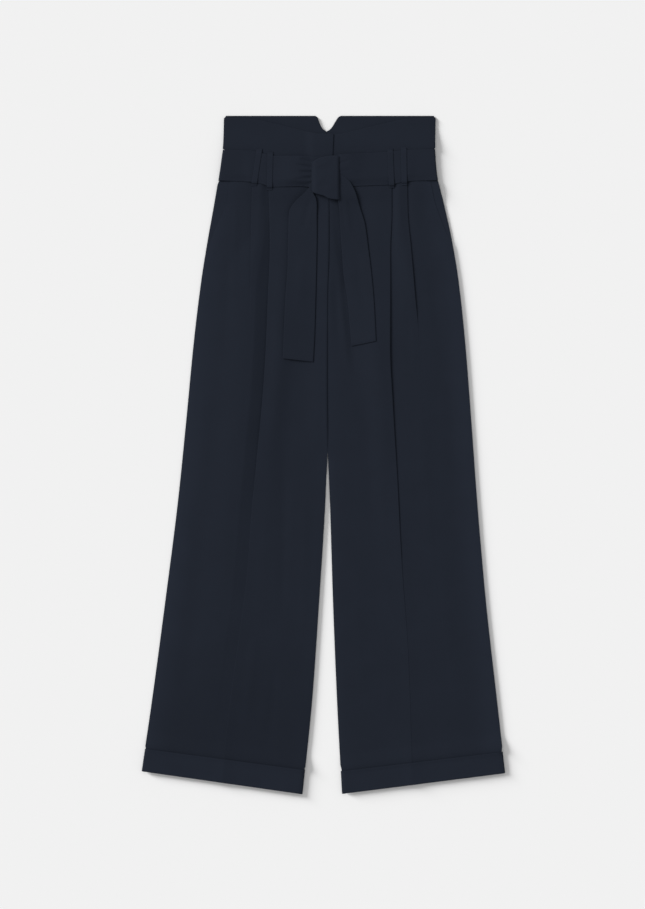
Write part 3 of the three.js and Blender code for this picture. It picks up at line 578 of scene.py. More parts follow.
def station_drop(side, station):
    """How much lower a row of cloth lies at the inseam than at the side, as the hems slant."""
    share = (station - WAIST_SEAM) / (HEM_OUTER[side] - WAIST_SEAM)
    return (HEM_INNER[side] - HEM_OUTER[side]) * share * share


def belt_side(side, edge):
    """Depth of the belt's top or bottom edge where it turns round the side."""
    return look_up(BELT_EDGES[side], edge, BELT_SIDE_OUT)


def edge_inset(side, station):
    """How far the belt and the turn-up draw in the panels' edges."""
    belt = BELT_INSET * (1 - ramp_from(belt_side(side, "bottom"), BELT_LETS_GO, station))
    cuff = (CUFF + GAP + CUFF_EASE) * ramp_from(HEM_OUTER[side] - TURN_UP, CUFF_DRAWS_IN, station)
    return belt + cuff


def leg_edges(side, station):
    """A panel's inner and outer edge at a station, and the drop of that row."""
    inset = edge_inset(side, station)
    drop = station_drop(side, station)
    outer = outline(side, station) - inset
    inner = inseam(side, station + drop)
    sewn = SEAM_CLOSED * (1 - ramp_from(CROTCH, SEAM_OPENS, station))
    return inner - sewn + (inset if station > CROTCH else 0), outer, drop


def down_at(station, edges, out):
    """Depth of one place in a row."""
    inner, outer, drop = edges
    share = min(1, max(0, (out - inner) / (outer - inner)))
    return station + drop * (1 - share)


def hem_at(side, station, drop, down):
    """Depth of the hem below a place in a row."""
    slant = (down - station) / drop if drop > 0 else 0
    return mix(HEM_OUTER[side], HEM_INNER[side], slant)


def from_edge(station, edges, out):
    """Distance to the nearest edge that is sewn to the back panel; above the crotch only the side is."""
    inner, outer, _ = edges
    return min(outer - out, out - inner if station > CROTCH else math.inf)


def pleat_at(rows, down, past=-math.inf):
    """One pleat's measures at a depth; its upper layer starts to rise beyond the place that is passed in."""
    pleat = {name: look_up(rows, name, down) for name in rows[0] if name != "down"}
    turn, radius = math.radians(pleat["turn"]), pleat["radius"]
    under = max(0, pleat["under"])
    start = pleat["edge"] - radius - LEG_SHEET / 2
    ramp_end = start - under - radius - LEG_SHEET
    freed = ramp(*VALLEY_OPENS, down)
    reach, fall_start, fall_end = (mix(*pair, freed) for pair in zip(VALLEY["waist"], VALLEY["leg"]))
    pleat.update(
        turn=turn, under=under, start=start, ramp_end=ramp_end,
        ramp_start=max(ramp_end - PLEAT_RAMP, past + PLEATS_APART),
        height=2 * radius * (1 - math.cos(turn)) + under * math.sin(turn),
        reach=reach, fall=(fall_start, fall_end),
    )
    return pleat


def crown_rise(pleat, out):
    """Swell of a pleat's upper layer, inside its edge."""
    return pleat["crown"] * math.exp(-(((pleat["edge"] - CROWN_REACH - out) / CROWN_WIDTH) ** 2))


def valley_rise(pleat, out):
    """Rise of the lower layer, outside a pleat's edge."""
    past = out - pleat["edge"]
    slope = min(max(0, past), pleat["reach"]) / pleat["reach"]
    rounded = mix(slope, math.sin(slope * math.pi / 2), VALLEY_ROUNDNESS)
    return pleat["valley"] * rounded * (1 - ramp(*pleat["fall"], past))


def soft_rise(side, out, down, calm=1):
    """Swells, creases and waves of the front panel, which never sink into the back panel."""
    rise = (
        fly_rise(out, down) + pocket_rise(side, out, down) + crease_rise(side, out, down)
        + centre_rise(side, out, down) + crease_height(LEG_CREASES[side], out, down)
        + calm * wave(side, out, down)
    )
    return soft_max(rise, LOWEST_RISE, SINK_SOFTNESS)


def upper_rise(side, out, down):
    """Height of the front panel's upper layer over its base."""
    rise, past = soft_rise(side, out, down), -math.inf
    for rows in PLEATS[side]:
        pleat = pleat_at(rows, down, past)
        if out <= pleat["edge"]:
            raised = pleat["height"] * ramp(pleat["ramp_start"], pleat["ramp_end"], out)
            return rise + raised + crown_rise(pleat, out)
        rise += valley_rise(pleat, out)
        past = pleat["edge"]
    return rise


def leg_top(side, out, down):
    """Height of the front panel's upper surface."""
    base = back_base(down, HEM_OUTER[side])
    return base + 1.5 * CLOTH + GAP + LEG_SHEET / 2 + upper_rise(side, out, down)


def leg_top_below(side, out, down, reach):
    """Evened height of the cloth that a stiff strip rests on, over a reach to both sides."""
    steps = (-reach, 0, reach)
    highest = [max(leg_top(side, out + near + step, down) for step in steps) for near in steps]
    return sum(highest) / len(steps)


# Sheets of cloth

def add_object(name, bm, material):
    mesh = bpy.data.meshes.new(name)
    bm.to_mesh(mesh)
    bm.free()
    mesh.materials.append(material)
    thing = bpy.data.objects.new(name, mesh)
    bpy.context.collection.objects.link(thing)
    return thing


def cloth(name, grid, thickness, material, ring=False, roll=0.25, tone=1.0):
    """A wall of cloth whose middle follows a grid of points, rows down and columns across.

    Its painted light and shade is one number, or a grid with one for each point.
    """
    rows, columns = len(grid) - 1, len(grid[0]) - 1
    bm = bmesh.new()
    uv_layer = bm.loops.layers.uv.new("cloth")
    bmesh.ops.create_grid(bm, x_segments=columns, y_segments=rows, size=0.5, calc_uvs=True)
    shade = bm.verts.layers.float.new("tone")
    for vert in bm.verts:
        i = round((vert.co.x + 0.5) * columns)
        j = round((0.5 - vert.co.y) * rows)
        vert.co = grid[j][i]
        vert[shade] = tone[j][i] if isinstance(tone, list) else tone
    width = (grid[0][-1] - grid[0][0]).length
    length = (grid[-1][0] - grid[0][0]).length
    for face in bm.faces:
        face.smooth = True
        for loop in face.loops:
            loop[uv_layer].uv = (loop[uv_layer].uv.x * width, loop[uv_layer].uv.y * length)
    if ring:
        bmesh.ops.remove_doubles(bm, verts=bm.verts, dist=0.01 * MM)
        bmesh.ops.recalc_face_normals(bm, faces=bm.faces)
    elif sum(face.normal.z * face.calc_area() for face in bm.faces) < 0:
        bmesh.ops.reverse_faces(bm, faces=bm.faces)
    piece = add_object(name, bm, material)
    solid = piece.modifiers.new("thickness", "SOLIDIFY")
    solid.thickness = thickness * MM
    solid.offset = 0
    solid.use_quality_normals = True
    edge = piece.modifiers.new("rolled_edge", "BEVEL")
    edge.width = roll * MM
    edge.segments = 2
    edge.limit_method = "ANGLE"
    edge.angle_limit = math.radians(60)
    edge.harden_normals = False
    return piece


def add_sheet(name, grid, thickness, slot, node, flat, held="laid", rests_on=(), full=False, **look):
    """A sheet that shows one solid; its flat width and length, in millimetres, and whether it is full are not
    used.
    """
    piece = cloth(name, grid, thickness, MATERIALS[slot], **look)
    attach(piece, "root")
    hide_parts(node)


# Leg panels

FRONT_ROWS = 190
BACK_ROWS = 90
# Columns of a front panel's section: close at its inner edge, then even, and those of a pleat's ramp
INNER_EDGE_STEPS = (0, 0.7, 1.5, 2.4)
INNER_FLAT_STEP = 4
RAMP_COLUMNS = 12
# The lower layer goes on this far beyond a fold, and two columns never lie in one place
PAST_FOLD = 0.4
COLUMN_APART = 0.02

# Painted highlight towards the side and the inseam, where the cloth rounds away, and painted shade towards
# the hem
SIDE_PAINTED_HIGHLIGHT, SIDE_HIGHLIGHT_REACH = 0.20, 48
INSEAM_PAINTED_HIGHLIGHT, INSEAM_HIGHLIGHT_REACH = 0.06, 30
HEM_PAINTED_SHADE = {"right": 0.12, "left": 0.03}
HEM_SHADE_SPAN = (780, 1010)

# Spans above the turn-up's line in which the front panel first swells and then dips
CUFF_SWELL, CUFF_SWELLS = 0.5, (30, 12)
CUFF_DIP, CUFF_DIPS = 0.9, (5, 0)
# Waves and swells calm down this close to an edge
EDGE_CALM = 12
POCKET_CALM = 14

POCKET_PIECE_UNDER = 16
POCKET_PIECE_SHORT = 4
FLY_SHORT = 2
FLY_SIDES = (-12, 14)
FLY_TAPER, FLY_TAPERS = 8, (-40, 0)


def fold_points(pleat, lower_rise):
    """A pleat's two turns: down over its edge and back under itself, then out again on the layer below."""
    radius, turn, start = pleat["radius"], pleat["turn"], pleat["start"]
    edge_rise = lower_rise(start)
    crown = crown_rise(pleat, start)
    points = []
    for k in range(FOLD_STEPS + 1):
        angle = turn * k / FOLD_STEPS
        rise = pleat["height"] - radius * (1 - math.cos(angle)) + crown * (1 + math.cos(angle)) / 2
        points.append((start + radius * math.sin(angle), rise + edge_rise))
    turned_out, turned_rise = points[-1]
    outward = turned_out + pleat["under"] * math.cos(turn)
    lower = turned_rise - pleat["under"] * math.sin(turn)
    for k in range(FOLD_STEPS + 1):
        angle = turn * (1 - k / FOLD_STEPS)
        out = outward + radius * (math.sin(turn) - math.sin(angle))
        rise = lower - radius * (math.cos(angle) - math.cos(turn))
        points.append((out + (COLUMN_APART if k == 0 else 0), rise))
    return points


def front_section(side, station):
    """Folded section across a front panel: places out from the centre and heights over the base."""
    edges = leg_edges(side, station)
    inner, outer, drop = edges
    if station < pocket_end(side):
        outer = min(outer, pocket_edge(side, station))
    section, lower_pleats, past = [], [], -math.inf

    def lower_rise(out):
        return sum(valley_rise(pleat, out) for pleat in lower_pleats)

    def layer(pleat, out, raised=0):
        return out, raised + lower_rise(out) + crown_rise(pleat, out)

    for number, rows in enumerate(PLEATS[side]):
        pleat = pleat_at(rows, station + drop / 2, past)
        ramp_start, ramp_end, height = pleat["ramp_start"], pleat["ramp_end"], pleat["height"]
        if number == 0:
            outs = [inner + step for step in INNER_EDGE_STEPS]
            outs += spread(inner + INNER_FLAT_STEP, ramp_start, 22)
        else:
            outs = [mix(section[-1][0], past, 0.5), past, past + 0.9, ramp_start]
        section += [layer(pleat, out) for out in outs]
        for k in range(1, RAMP_COLUMNS + 1):
            out = mix(ramp_start, ramp_end, k / RAMP_COLUMNS)
            section.append(layer(pleat, out, height * ramp(0, RAMP_COLUMNS, k)))
        section += [layer(pleat, out, height) for out in spread(ramp_end, pleat["start"], 9)[1:-1]]
        section += fold_points(pleat, lower_rise)
        past = max(pleat["edge"], section[-1][0] + PAST_FOLD)
        lower_pleats.append(pleat)
    outs = [mix(section[-1][0], past, 0.5), past, past + 1, past + 2.5]
    outs += spread(past + 5, outer - SEAM_ROLL, 26) + spread(outer - SEAM_ROLL, outer, 6)[1:]
    section += [(out, lower_rise(out)) for out in outs]
    return edges, section


def seam_roll(distance):
    """How far a sheet bends to meet the one that it is sewn to, at a distance from its edge."""
    return (CLOTH + GAP - LEG_SHEET) / 2 * (1 - ramp(0, SEAM_ROLL, distance))


# Painted highlight along the side and the inseam and painted shade towards the hem, as a factor on the
# cloth's colour
def leg_painted_light(side, out, down, inner, outer):
    side_highlight = SIDE_PAINTED_HIGHLIGHT * ramp(outer - SIDE_HIGHLIGHT_REACH, outer, out)
    inseam_highlight = INSEAM_PAINTED_HIGHLIGHT * (1 - ramp(inner, inner + INSEAM_HIGHLIGHT_REACH, out))
    return 1 + (side_highlight + inseam_highlight) - HEM_PAINTED_SHADE[side] * ramp(*HEM_SHADE_SPAN, down)


def add_front_leg(side):
    grid, tone = [], []
    for station in spread(PANEL_TOP, HEM_OUTER[side] - PANEL_ENDS[side], FRONT_ROWS + 1):
        edges, section = front_section(side, station)
        inner, outer, drop = edges
        line, shades = [], []
        for out, rise in section:
            down = down_at(station, edges, out)
            hem = hem_at(side, station, drop, down)
            base = back_base(down, hem) + 1.5 * CLOTH + GAP
            near = from_edge(station, edges, out)
            above_cuff = hem - TURN_UP_SEEN[side] - down
            dip = CUFF_SWELL * ramp(*CUFF_SWELLS, above_cuff) - CUFF_DIP * ramp(*CUFF_DIPS, above_cuff)
            roll = 1 - ramp(0, EDGE_CALM, near)
            calm = ramp(0, POCKET_CALM, section[-1][0] - out) if station < pocket_end(side) else 1
            rest = soft_rise(side, out, down, calm) * (1 - roll) + dip - seam_roll(near)
            line.append(place(side, out, down, base + rise * (1 - roll) + rest))
            shades.append(leg_painted_light(side, out, down, inner, outer))
        grid.append(line)
        tone.append(shades)
    add_sheet(
        f"front_panel_{side}", grid, LEG_SHEET, "crepe", f"front_leg_{side}", (330, 1004),
        held="folded", rests_on=[f"back_panel_{side}"], tone=tone,
    )


def add_back_leg(side):
    grid = []
    for station in spread(PANEL_TOP, HEM_OUTER[side] - PANEL_ENDS[side], BACK_ROWS + 1):
        edges = leg_edges(side, station)
        inner, outer, drop = edges
        line = []
        outs = spread(inner, inner + SEAM_ROLL, 4)[:-1] + spread(inner + SEAM_ROLL, outer - SEAM_ROLL, 28)
        outs += spread(outer - SEAM_ROLL, outer, 4)[1:]
        for out in outs:
            down = down_at(station, edges, out)
            base = back_base(down, hem_at(side, station, drop, down))
            line.append(place(side, out, down, base + CLOTH / 2 + seam_roll(from_edge(station, edges, out))))
        grid.append(line)
    add_sheet(
        f"back_panel_{side}", grid, LEG_SHEET, "crepe", f"back_leg_{side}", (270, 1004),
        rests_on=["floor"],
    )


def add_pocket_bearer(side):
    grid = []
    for down in spread(PANEL_TOP, pocket_end(side) - POCKET_PIECE_SHORT, 24):
        outer = outline(side, down) - edge_inset(side, down)
        inner = pocket_edge(side, down) - POCKET_PIECE_UNDER
        base = back_base(down, HEM_OUTER[side]) + CLOTH + GAP
        grid.append([place(side, out, down, base + CLOTH / 2) for out in spread(inner, outer, 10)])
    # The bearer is painted lighter than the panels, a painted highlight
    add_sheet(
        f"pocket_piece_{side}", grid, LEG_SHEET, "crepe", f"pocket_bearer_{side}", (40, 125),
        rests_on=[f"back_panel_{side}"], tone=POCKET_PAINTED_HIGHLIGHT,
    )


def add_fly():
    grid = []
    for down in spread(PANEL_TOP, FLY_END - FLY_SHORT, 30):
        base = back_base(down, HEM_OUTER["left"]) + CLOTH + GAP
        taper = FLY_TAPER * ramp_from(FLY_END, FLY_TAPERS, down)
        outs = spread(FLY_SIDES[0] + taper, FLY_SIDES[1] - taper, 8)
        grid.append([place("left", out, down, base + CLOTH / 2) for out in outs])
    add_sheet(
        "fly_strip", grid, LEG_SHEET, "crepe", "fly_underlap", (26, 152),
        rests_on=["back_panel_left"],
    )


# Waistband

FRONT_BAND_TOP = 3.5
BACK_BAND_TOP = -0.2
BAND_CORNER, BAND_CORNER_REACH = 3.0, 4.5
# From the belt's top edge, where the bands are drawn in under it
BAND_DRAWS_IN = (-2.4, -0.4)
OVERLAP_ENDS = (24, 40)
BAND_SIDE_CALM, BAND_END_CALM = 12, 10


def band_outer(side, down):
    """The bands' side edge, with its rounded top corner."""
    corner = BAND_CORNER * (1 - ramp(0, BAND_CORNER_REACH, down))
    drawn_in = BELT_INSET * ramp_from(belt_side(side, "top"), BAND_DRAWS_IN, down)
    return outline(side, down) - drawn_in - corner


def add_front_band(side):
    grid = []
    for share in spreads((0, 0.5, 26), (0.51, 0.6, 13), (0.63, 1, 14)):
        outer = band_outer(side, FRONT_BAND_TOP + share * (WAIST_SEAM - FRONT_BAND_TOP))
        end = mix(*BAND_END[side], share)
        line = []
        for out in spread(end, outer, 71):
            down = mix(look_up(FRONT_TOP, "down", out), BAND_BOTTOM, share)
            overlap = BAND_RISE[side] * (1 - ramp(*OVERLAP_ENDS, out))
            calm = ramp(0, BAND_SIDE_CALM, outer - out)
            loose = wave(side, out, down) * calm * ramp(0, BAND_END_CALM, out - end)
            rise = overlap + STIFF_SHARE * loose - seam_roll(outer - out)
            line.append(place(side, out, down, band_base(down) + 1.5 * BAND + GAP + rise))
        grid.append(line)
    add_sheet(
        f"front_band_{side}", grid, BAND_SHEET, "waistband_crepe", f"waistband_front_{side}",
        (192, 93), rests_on=[f"back_band_{side}"], roll=0.5,
    )


def add_back_band(side):
    grid = []
    for down in spreads((BACK_BAND_TOP, 26, 27), (30, 50, 11), (51, 57, 13), (60, BAND_BOTTOM, 15)):
        inner = look_up(NOTCH, side, down)
        z = band_base(down) + BAND / 2
        grid.append([place(side, out, down, z) for out in spread(inner, band_outer(side, down), 41)])
    add_sheet(
        f"back_band_{side}", grid, BAND_SHEET, "waistband_crepe", f"waistband_back_{side}",
        (180, 96), rests_on=["floor", "belt_behind"], roll=0.5,
    )


# Turn-ups

CUFF_LOW = CUFF / 2
CUFF_HIGH = CUFF_BASE + 2 * (CLOTH + GAP) + CUFF / 2
CUFF_BEND = (CUFF_HIGH - CUFF_LOW) / 2
# The front layer flares a little at its line, is raised beside the crease and lies calm near the folds
CUFF_FLARE, CUFF_FLARES = 0.9, (5, 0)
CUFF_STEP, CUFF_STEPS = 0.2, (-4, 4)
CUFF_CALM = 14
SIDE_TURN = 80


def side_turn(edge, inward, angles):
    """Points round a turn-up's side fold; inward is the way from the edge to the middle."""
    points = []
    for angle in angles:
        turn = math.radians(angle)
        out = edge + inward * CUFF_BEND * (1 - math.cos(turn))
        points.append((out, CUFF_LOW + CUFF_BEND + CUFF_BEND * math.sin(turn)))
    return points


def cuff_front(side, share, station, inner, outer, crease):
    """Points across a turn-up's front layer."""
    line = []
    outs = spread(inner + CUFF_BEND, crease - CREASE_REACH, 24)[:-1]
    outs += spread(crease - CREASE_REACH, crease + CREASE_REACH, 13)
    outs += spread(crease + CREASE_REACH, outer - CUFF_BEND, 24)[1:]
    flare = CUFF_FLARE * ramp(*CUFF_FLARES, share * TURN_UP_SEEN[side])
    for out in outs:
        loose = wave(side, out, station) * ramp(0, CUFF_CALM, min(out - inner, outer - out))
        step = CUFF_STEP * (1 - ramp_from(crease, CUFF_STEPS, out))
        line.append((out, CUFF_HIGH + crease_rise(side, out, station) + step + flare + loose))
    return line


def add_cuff(side):
    grid = []
    for share in spread(0, 1, 15):
        station = HEM_OUTER[side] - TURN_UP_SEEN[side] * (1 - share)
        drop = station_drop(side, station)
        outer = outline(side, station) - CUFF / 2
        inner = inseam(side, station + drop) + CUFF / 2
        crease = crease_at(side, station + drop / 2)
        line = cuff_front(side, share, station, inner, outer, crease)
        line += side_turn(outer, -1, spread(SIDE_TURN, -SIDE_TURN, 9))
        line += [(out, CUFF_LOW) for out in spread(outer - CUFF_BEND, inner + CUFF_BEND, 40)]
        line += side_turn(inner, 1, spread(-SIDE_TURN, SIDE_TURN, 9))
        line.append(line[0])
        grid.append([place(side, out, down_at(station, (inner, outer, drop), out), z) for out, z in line])
    # The turn-up is painted lighter than the leg, a painted highlight
    add_sheet(
        f"turn_up_{side}", grid, CUFF_SHEET, "crepe", f"cuff_{side}", (530, TURN_UP_SEEN[side]),
        held="folded", rests_on=["floor", f"front_panel_{side}"], full=True, ring=True, roll=0.4,
        tone=CUFF_PAINTED_HIGHLIGHT,
    )


# Belt

# Places out from the centre between which the belt passes from its upper height to its side height
BELT_STEPS_DOWN = (128, 142)
# The right stretch bulges between two places, and the left one lifts beside the knot, more at its top
BULGE_FADES, BULGE_STARTS = (90, 52), (29, 50)
LIFT_STARTS, LIFT_FADES, LIFT_SHARES = (12, 20), (64, 24), (0.75, 0.4)
CENTRE_HEIGHT_ENDS = (26, 60)
PRESS_WIDTH = 5
# The lower edge dips onto the panels from here outwards, and stiff strips even out what they rest on
DIP_FROM, DIP_GROWS = 24, (24, 34)
BELT_EVENED, LOOP_EVENED = 5, 4
CLEAR = 0.1


def belt_base(side, out, share):
    """Height of a stretch's underside: it bulges where it is drawn into the knot."""
    lower = mix(BELT_LOWER_BASE, BELT_SIDE_BASE, ramp(*BELT_STEPS_DOWN, out))
    flat = mix(BELT_UPPER_BASE, lower, share)
    if side == "right":
        drawn_in = BELT_BULGE * ramp(*BULGE_FADES, out) * ramp(*BULGE_STARTS, out)
    else:
        drawn_in = BELT_LIFT * ramp(*LIFT_STARTS, out) * ramp(*LIFT_FADES, out) * ramp(*LIFT_SHARES, share)
    return mix(BELT_CENTRE_BASE, flat, ramp(*CENTRE_HEIGHT_ENDS, out)) + drawn_in


def loop_press(side, out, share):
    """How far the front loops press the belt in."""
    total = 0
    for row in FRONT_LOOPS:
        if row["side"] == side:
            past = out - mix(row["top"], row["bottom"], share)
            total += row["press"] * math.exp(-((past / PRESS_WIDTH) ** 2))
    return total


def belt_turn(side_out, angles):
    """How far out a stretch is at each step of its turn round the side, and how far below its flat part."""
    turns = [math.radians(angle) for angle in angles]
    return [(side_out - SIDE_BEND * (1 - math.cos(turn)), SIDE_BEND * (1 - math.sin(turn))) for turn in turns]


def add_front_belt(side):
    grid = []
    rows = BELT_EDGES[side]

    def edge_down(out, share):
        return mix(look_up(rows, "top", out), look_up(rows, "bottom", out), share)

    for share in spread(0, 1, 33):
        line = []
        for out in spreads((0.15, 64, 60), (66, 130, 44), (133, 155, 10)):
            down = edge_down(out, share)
            loose = crease_height(BELT_CREASES[side], out, down) + STIFF_SHARE * wave(side, out, down)
            z = belt_base(side, out, share) + BELT / 2 + loose - loop_press(side, out, share)
            if share > BELT_DIP_START and out > DIP_FROM:
                rest = leg_top_below(side, out, down, BELT_EVENED) + BELT_SHEET / 2 + CLEAR
                z = mix(z, min(z, rest), ramp(BELT_DIP_START, 1, share) * ramp(*DIP_GROWS, out))
            line.append(place(side, out, down, z))
        side_down = edge_down(BELT_SIDE_OUT, share)
        side_out = outline(side, side_down) - BELT / 2
        top = belt_base(side, BELT_SIDE_OUT, share) + BELT / 2
        line.append(place(side, side_out - SIDE_BEND - 3, side_down, top))
        turn = belt_turn(side_out, spread(90, 0, 7))
        line += [place(side, out, side_down, top - below) for out, below in turn]
        line.append(place(side, side_out, side_down, SIDE_MIDDLE + GAP / 2))
        grid.append(line)
    add_sheet(
        f"belt_{side}", grid, BELT_SHEET, "belt_crepe", f"belt_front_{side}", (186, 50),
        held="stretched", rests_on=[f"front_band_{side}", f"front_panel_{side}"], full=True, roll=0.6,
    )


def add_back_belt():
    grid = []
    middle = BACK_BELT_BASE + BELT / 2
    for share in spread(0, 1, 13):
        line = []
        for side in SIGN:
            down = mix(belt_side(side, "top"), belt_side(side, "bottom"), share)
            side_out = outline(side, down) - BELT / 2
            turn = belt_turn(side_out, spread(0, 90, 7))
            half = [place(side, side_out, down, SIDE_MIDDLE - GAP / 2)]
            half += [place(side, out, down, middle + above) for out, above in turn]
            half += [place(side, out, down, middle) for out in spread(165, 2.5, 40)]
            line += half if side == "right" else half[::-1]
        grid.append(line)
    add_sheet(
        "belt_behind", grid, BELT_SHEET, "belt_crepe", "belt_back", (366, 50),
        held="stretched", rests_on=["back_loop_right"], full=True, roll=0.6,
    )


# Loops: how far they reach past the belt's edges, their sewn feet, and the corner where they bend
FRONT_LOOP_PAST = {"top": 1.3, "bottom": 1.4}
BACK_LOOP_PAST = 1.2
FRONT_FOOT, BACK_FOOT = 3.5, 3
LOOP_CORNER = 0.6
LOOP_LIFT = 0.2


def add_loop(name, node, side, outs, path, tone, held_on):
    """A loop along a path of depths and heights, slanting between its places at the top and bottom."""
    first, last = path[0][0], path[-1][0]
    grid = []
    for down, z in path:
        middle = mix(*outs, (down - first) / (last - first))
        grid.append([place(side, middle + share * LOOP_WIDTH, down, z) for share in spread(-0.5, 0.5, 7)])
    add_sheet(
        name, grid, LOOP_SHEET, "belt_crepe", node, (10, 66),
        held="stretched", rests_on=held_on, full=True, roll=0.3, tone=tone,
    )


def add_front_loop(number, row):
    side = row["side"]

    def belt_edge(edge, choose):
        steps = (-LOOP_WIDTH / 2, LOOP_WIDTH / 2)
        return choose(look_up(BELT_EDGES[side], edge, row[edge] + step) for step in steps)

    top = belt_edge("top", min) - FRONT_LOOP_PAST["top"]
    bottom = belt_edge("bottom", max) + FRONT_LOOP_PAST["bottom"]
    over = (BELT + BELT_SHEET + LOOP_SHEET) / 2 + CLEAR / 2 - row["press"]
    upper, lower = belt_base(side, row["top"], 0) + over, belt_base(side, row["bottom"], 1) + over
    upper_foot = WAIST_BASE + 2 * BAND + 2 * GAP + LOOP / 2
    lower_foot = leg_top_below(side, row["bottom"], bottom + 2, LOOP_EVENED) + LOOP_SHEET / 2 + CLEAR
    loose = STIFF_SHARE * wave(side, row["top"], (top + bottom) / 2)
    upper, lower = upper + loose, lower + loose
    path = [(down, upper_foot) for down in spread(top - FRONT_FOOT, top - LOOP_CORNER, 4)]
    path += [(top, upper_foot + LOOP_CORNER), (top, upper - LOOP_CORNER), (top + LOOP_CORNER, upper)]
    over_belt = enumerate(spread(top + 4, bottom - 4, 9))
    path += [(down, mix(upper, lower, k / 8) + LOOP_LIFT) for k, down in over_belt]
    path += [(bottom - LOOP_CORNER, lower), (bottom, lower - LOOP_CORNER), (bottom, lower_foot + LOOP_CORNER)]
    path += [(down, lower_foot) for down in spread(bottom + LOOP_CORNER, bottom + FRONT_FOOT, 4)]
    # Each loop carries its painted highlight from the table
    add_loop(
        f"front_loop_{number}", f"belt_loop_front_{number}", side, (row["top"], row["bottom"]), path,
        row["tone"], [f"belt_{side}", f"front_band_{side}"],
    )


def add_back_loop(side):
    top = belt_side(side, "top") - BACK_LOOP_PAST
    bottom = belt_side(side, "bottom") + BACK_LOOP_PAST
    low = LOOP / 2
    foot = WAIST_BASE - GAP - LOOP / 2 - LOOP_LIFT
    near_foot, near_low = mix(foot, low, 0.3), mix(foot, low, 0.7)
    path = [(top - BACK_FOOT, foot), (top - LOOP_CORNER, foot)]
    path += [(top - 0.1, near_foot), (top + 0.1, near_low), (top + LOOP_CORNER, low)]
    path += [(down, low) for down in spread(top + 4, bottom - 4, 9)] + [(bottom - LOOP_CORNER, low)]
    path += [(bottom - 0.1, near_low), (bottom + 0.1, near_foot), (bottom + LOOP_CORNER, foot)]
    path += [(bottom + BACK_FOOT, foot)]
    add_loop(
        f"back_loop_{side}", f"belt_loop_back_{side}", side, (BACK_LOOP_OUT, BACK_LOOP_OUT), path,
        1.0, ["belt_behind", "floor"],
    )


TAIL_LENGTHS = {"right": 292, "left": 272}
TAIL_LEVELS = (150, 119)
BRIDGE_SOFTNESS = 0.3
LIFT_SHARE, TAIL_SETTLES, TAIL_LOOSE = 0.6, 0.3, 0.6


def add_tail(side):
    """A belt end: level where it leaves the knot, then down onto the front panel, bridging its hollows."""
    rows = TAILS[side]
    steps = [dict(step=i, **row) for i, row in enumerate(rows)]
    level = BELT_CENTRE_BASE + (BELT + BELT_SHEET + TAIL_SHEET - TAIL) / 2 + CLEAR
    grid = []
    for at in spread(0, len(rows) - 1, 100):
        row = {name: look_up(steps, name, at) for name in rows[0]}
        near_rise = upper_rise(side, row["near"], row["near_down"])
        far_rise = upper_rise(side, row["far"], row["far_down"])
        line = []
        for share in spread(0, 1, 21):
            out = mix(row["near"], row["far"], share)
            down = mix(row["near_down"], row["far_down"], share)
            base = back_base(down, HEM_OUTER[side]) + 2 * CLOTH + GAP
            bridged = soft_max(upper_rise(side, out, down), mix(near_rise, far_rise, share), BRIDGE_SOFTNESS)
            lain = base + bridged + LIFT_SHARE * row["lift"] - TAIL_SETTLES
            loose = crease_height(TAIL_CREASES[side], out, down) + TAIL_LOOSE
            z = mix(lain + loose, level, ramp(*TAIL_LEVELS, down)) + TAIL / 2
            line.append(place(side, out, down, z))
        grid.append(line)
    add_sheet(
        f"belt_end_{side}", grid, TAIL_SHEET, "belt_crepe", f"belt_tail_{side}",
        (50, TAIL_LENGTHS[side]), held="hung", rests_on=[f"front_panel_{side}"], roll=0.5,
    )


# Knot

KNOT_LEFT, KNOT_RIGHT = 28.6, -16.5
# Angles of the wrap's first and last row, and a power below 1 that squares its section
KNOT_WRAP = (-55, 235)
KNOT_SQUARED = 0.5
# It lies higher over the ends than over the belt, and its two sides drop and thin out
KNOT_RISES = (84, 104)
KNOT_DROPS = {"right": (0.12, 0), "left": (0.95, 1)}
KNOT_THICKENS, KNOT_THINS = (0, 0.2), (1, 0.9)
KNOT_LOW, KNOT_LOW_OVER_ENDS = 10.8, 12.0
KNOT_THICK, KNOT_END_THICK = 2.2, 1.0
KNOT_DROP = {"right": 0.7, "left": 1.3}
KNOT_EDGES = table(
    "share top bottom",
    (0, 76.8, 120.5), (0.06, 74.8, 124.5), (0.3, 69.7, 128.3), (0.45, 67.5, 130.2), (0.62, 66.4, 134.3),
    (0.96, 66.4, 136.2), (1, 67.4, 135.4),
)


def squared(value):
    return math.copysign(abs(value) ** KNOT_SQUARED, value)


def add_knot():
    """The belt wrapped once round its own crossing and pulled flat."""
    grid = []
    for t in spread(0, 1, 97):
        angle = math.radians(mix(*KNOT_WRAP, t))
        across, up = squared(math.cos(angle)), squared(math.sin(angle))
        line = []
        for share in spread(0, 1, 47):
            out = mix(KNOT_LEFT, KNOT_RIGHT, share)
            top = look_up(KNOT_EDGES, "top", share)
            bottom = look_up(KNOT_EDGES, "bottom", share)
            down = (top + bottom) / 2 - (bottom - top) / 2 * across
            low = mix(KNOT_LOW, KNOT_LOW_OVER_ENDS, ramp(*KNOT_RISES, down))
            ends = sum(KNOT_DROP[end] * ramp(*KNOT_DROPS[end], share) for end in SIGN)
            low -= ends * max(0, up)
            thick = mix(KNOT_END_THICK, KNOT_THICK, ramp(*KNOT_THICKENS, share) * ramp(*KNOT_THINS, share))
            crease = crease_height(KNOT_CREASES, out, down) * max(0, up)
            line.append(place("right", out, down, low + thick * (1 + up) / 2 + crease))
        grid.append(line)
    add_sheet(
        "knot_wrap", grid, BELT_SHEET, "belt_crepe", "belt_knot", (50, 140),
        held="folded", rests_on=["belt_right", "belt_left"], roll=0.6,
    )


# Stage

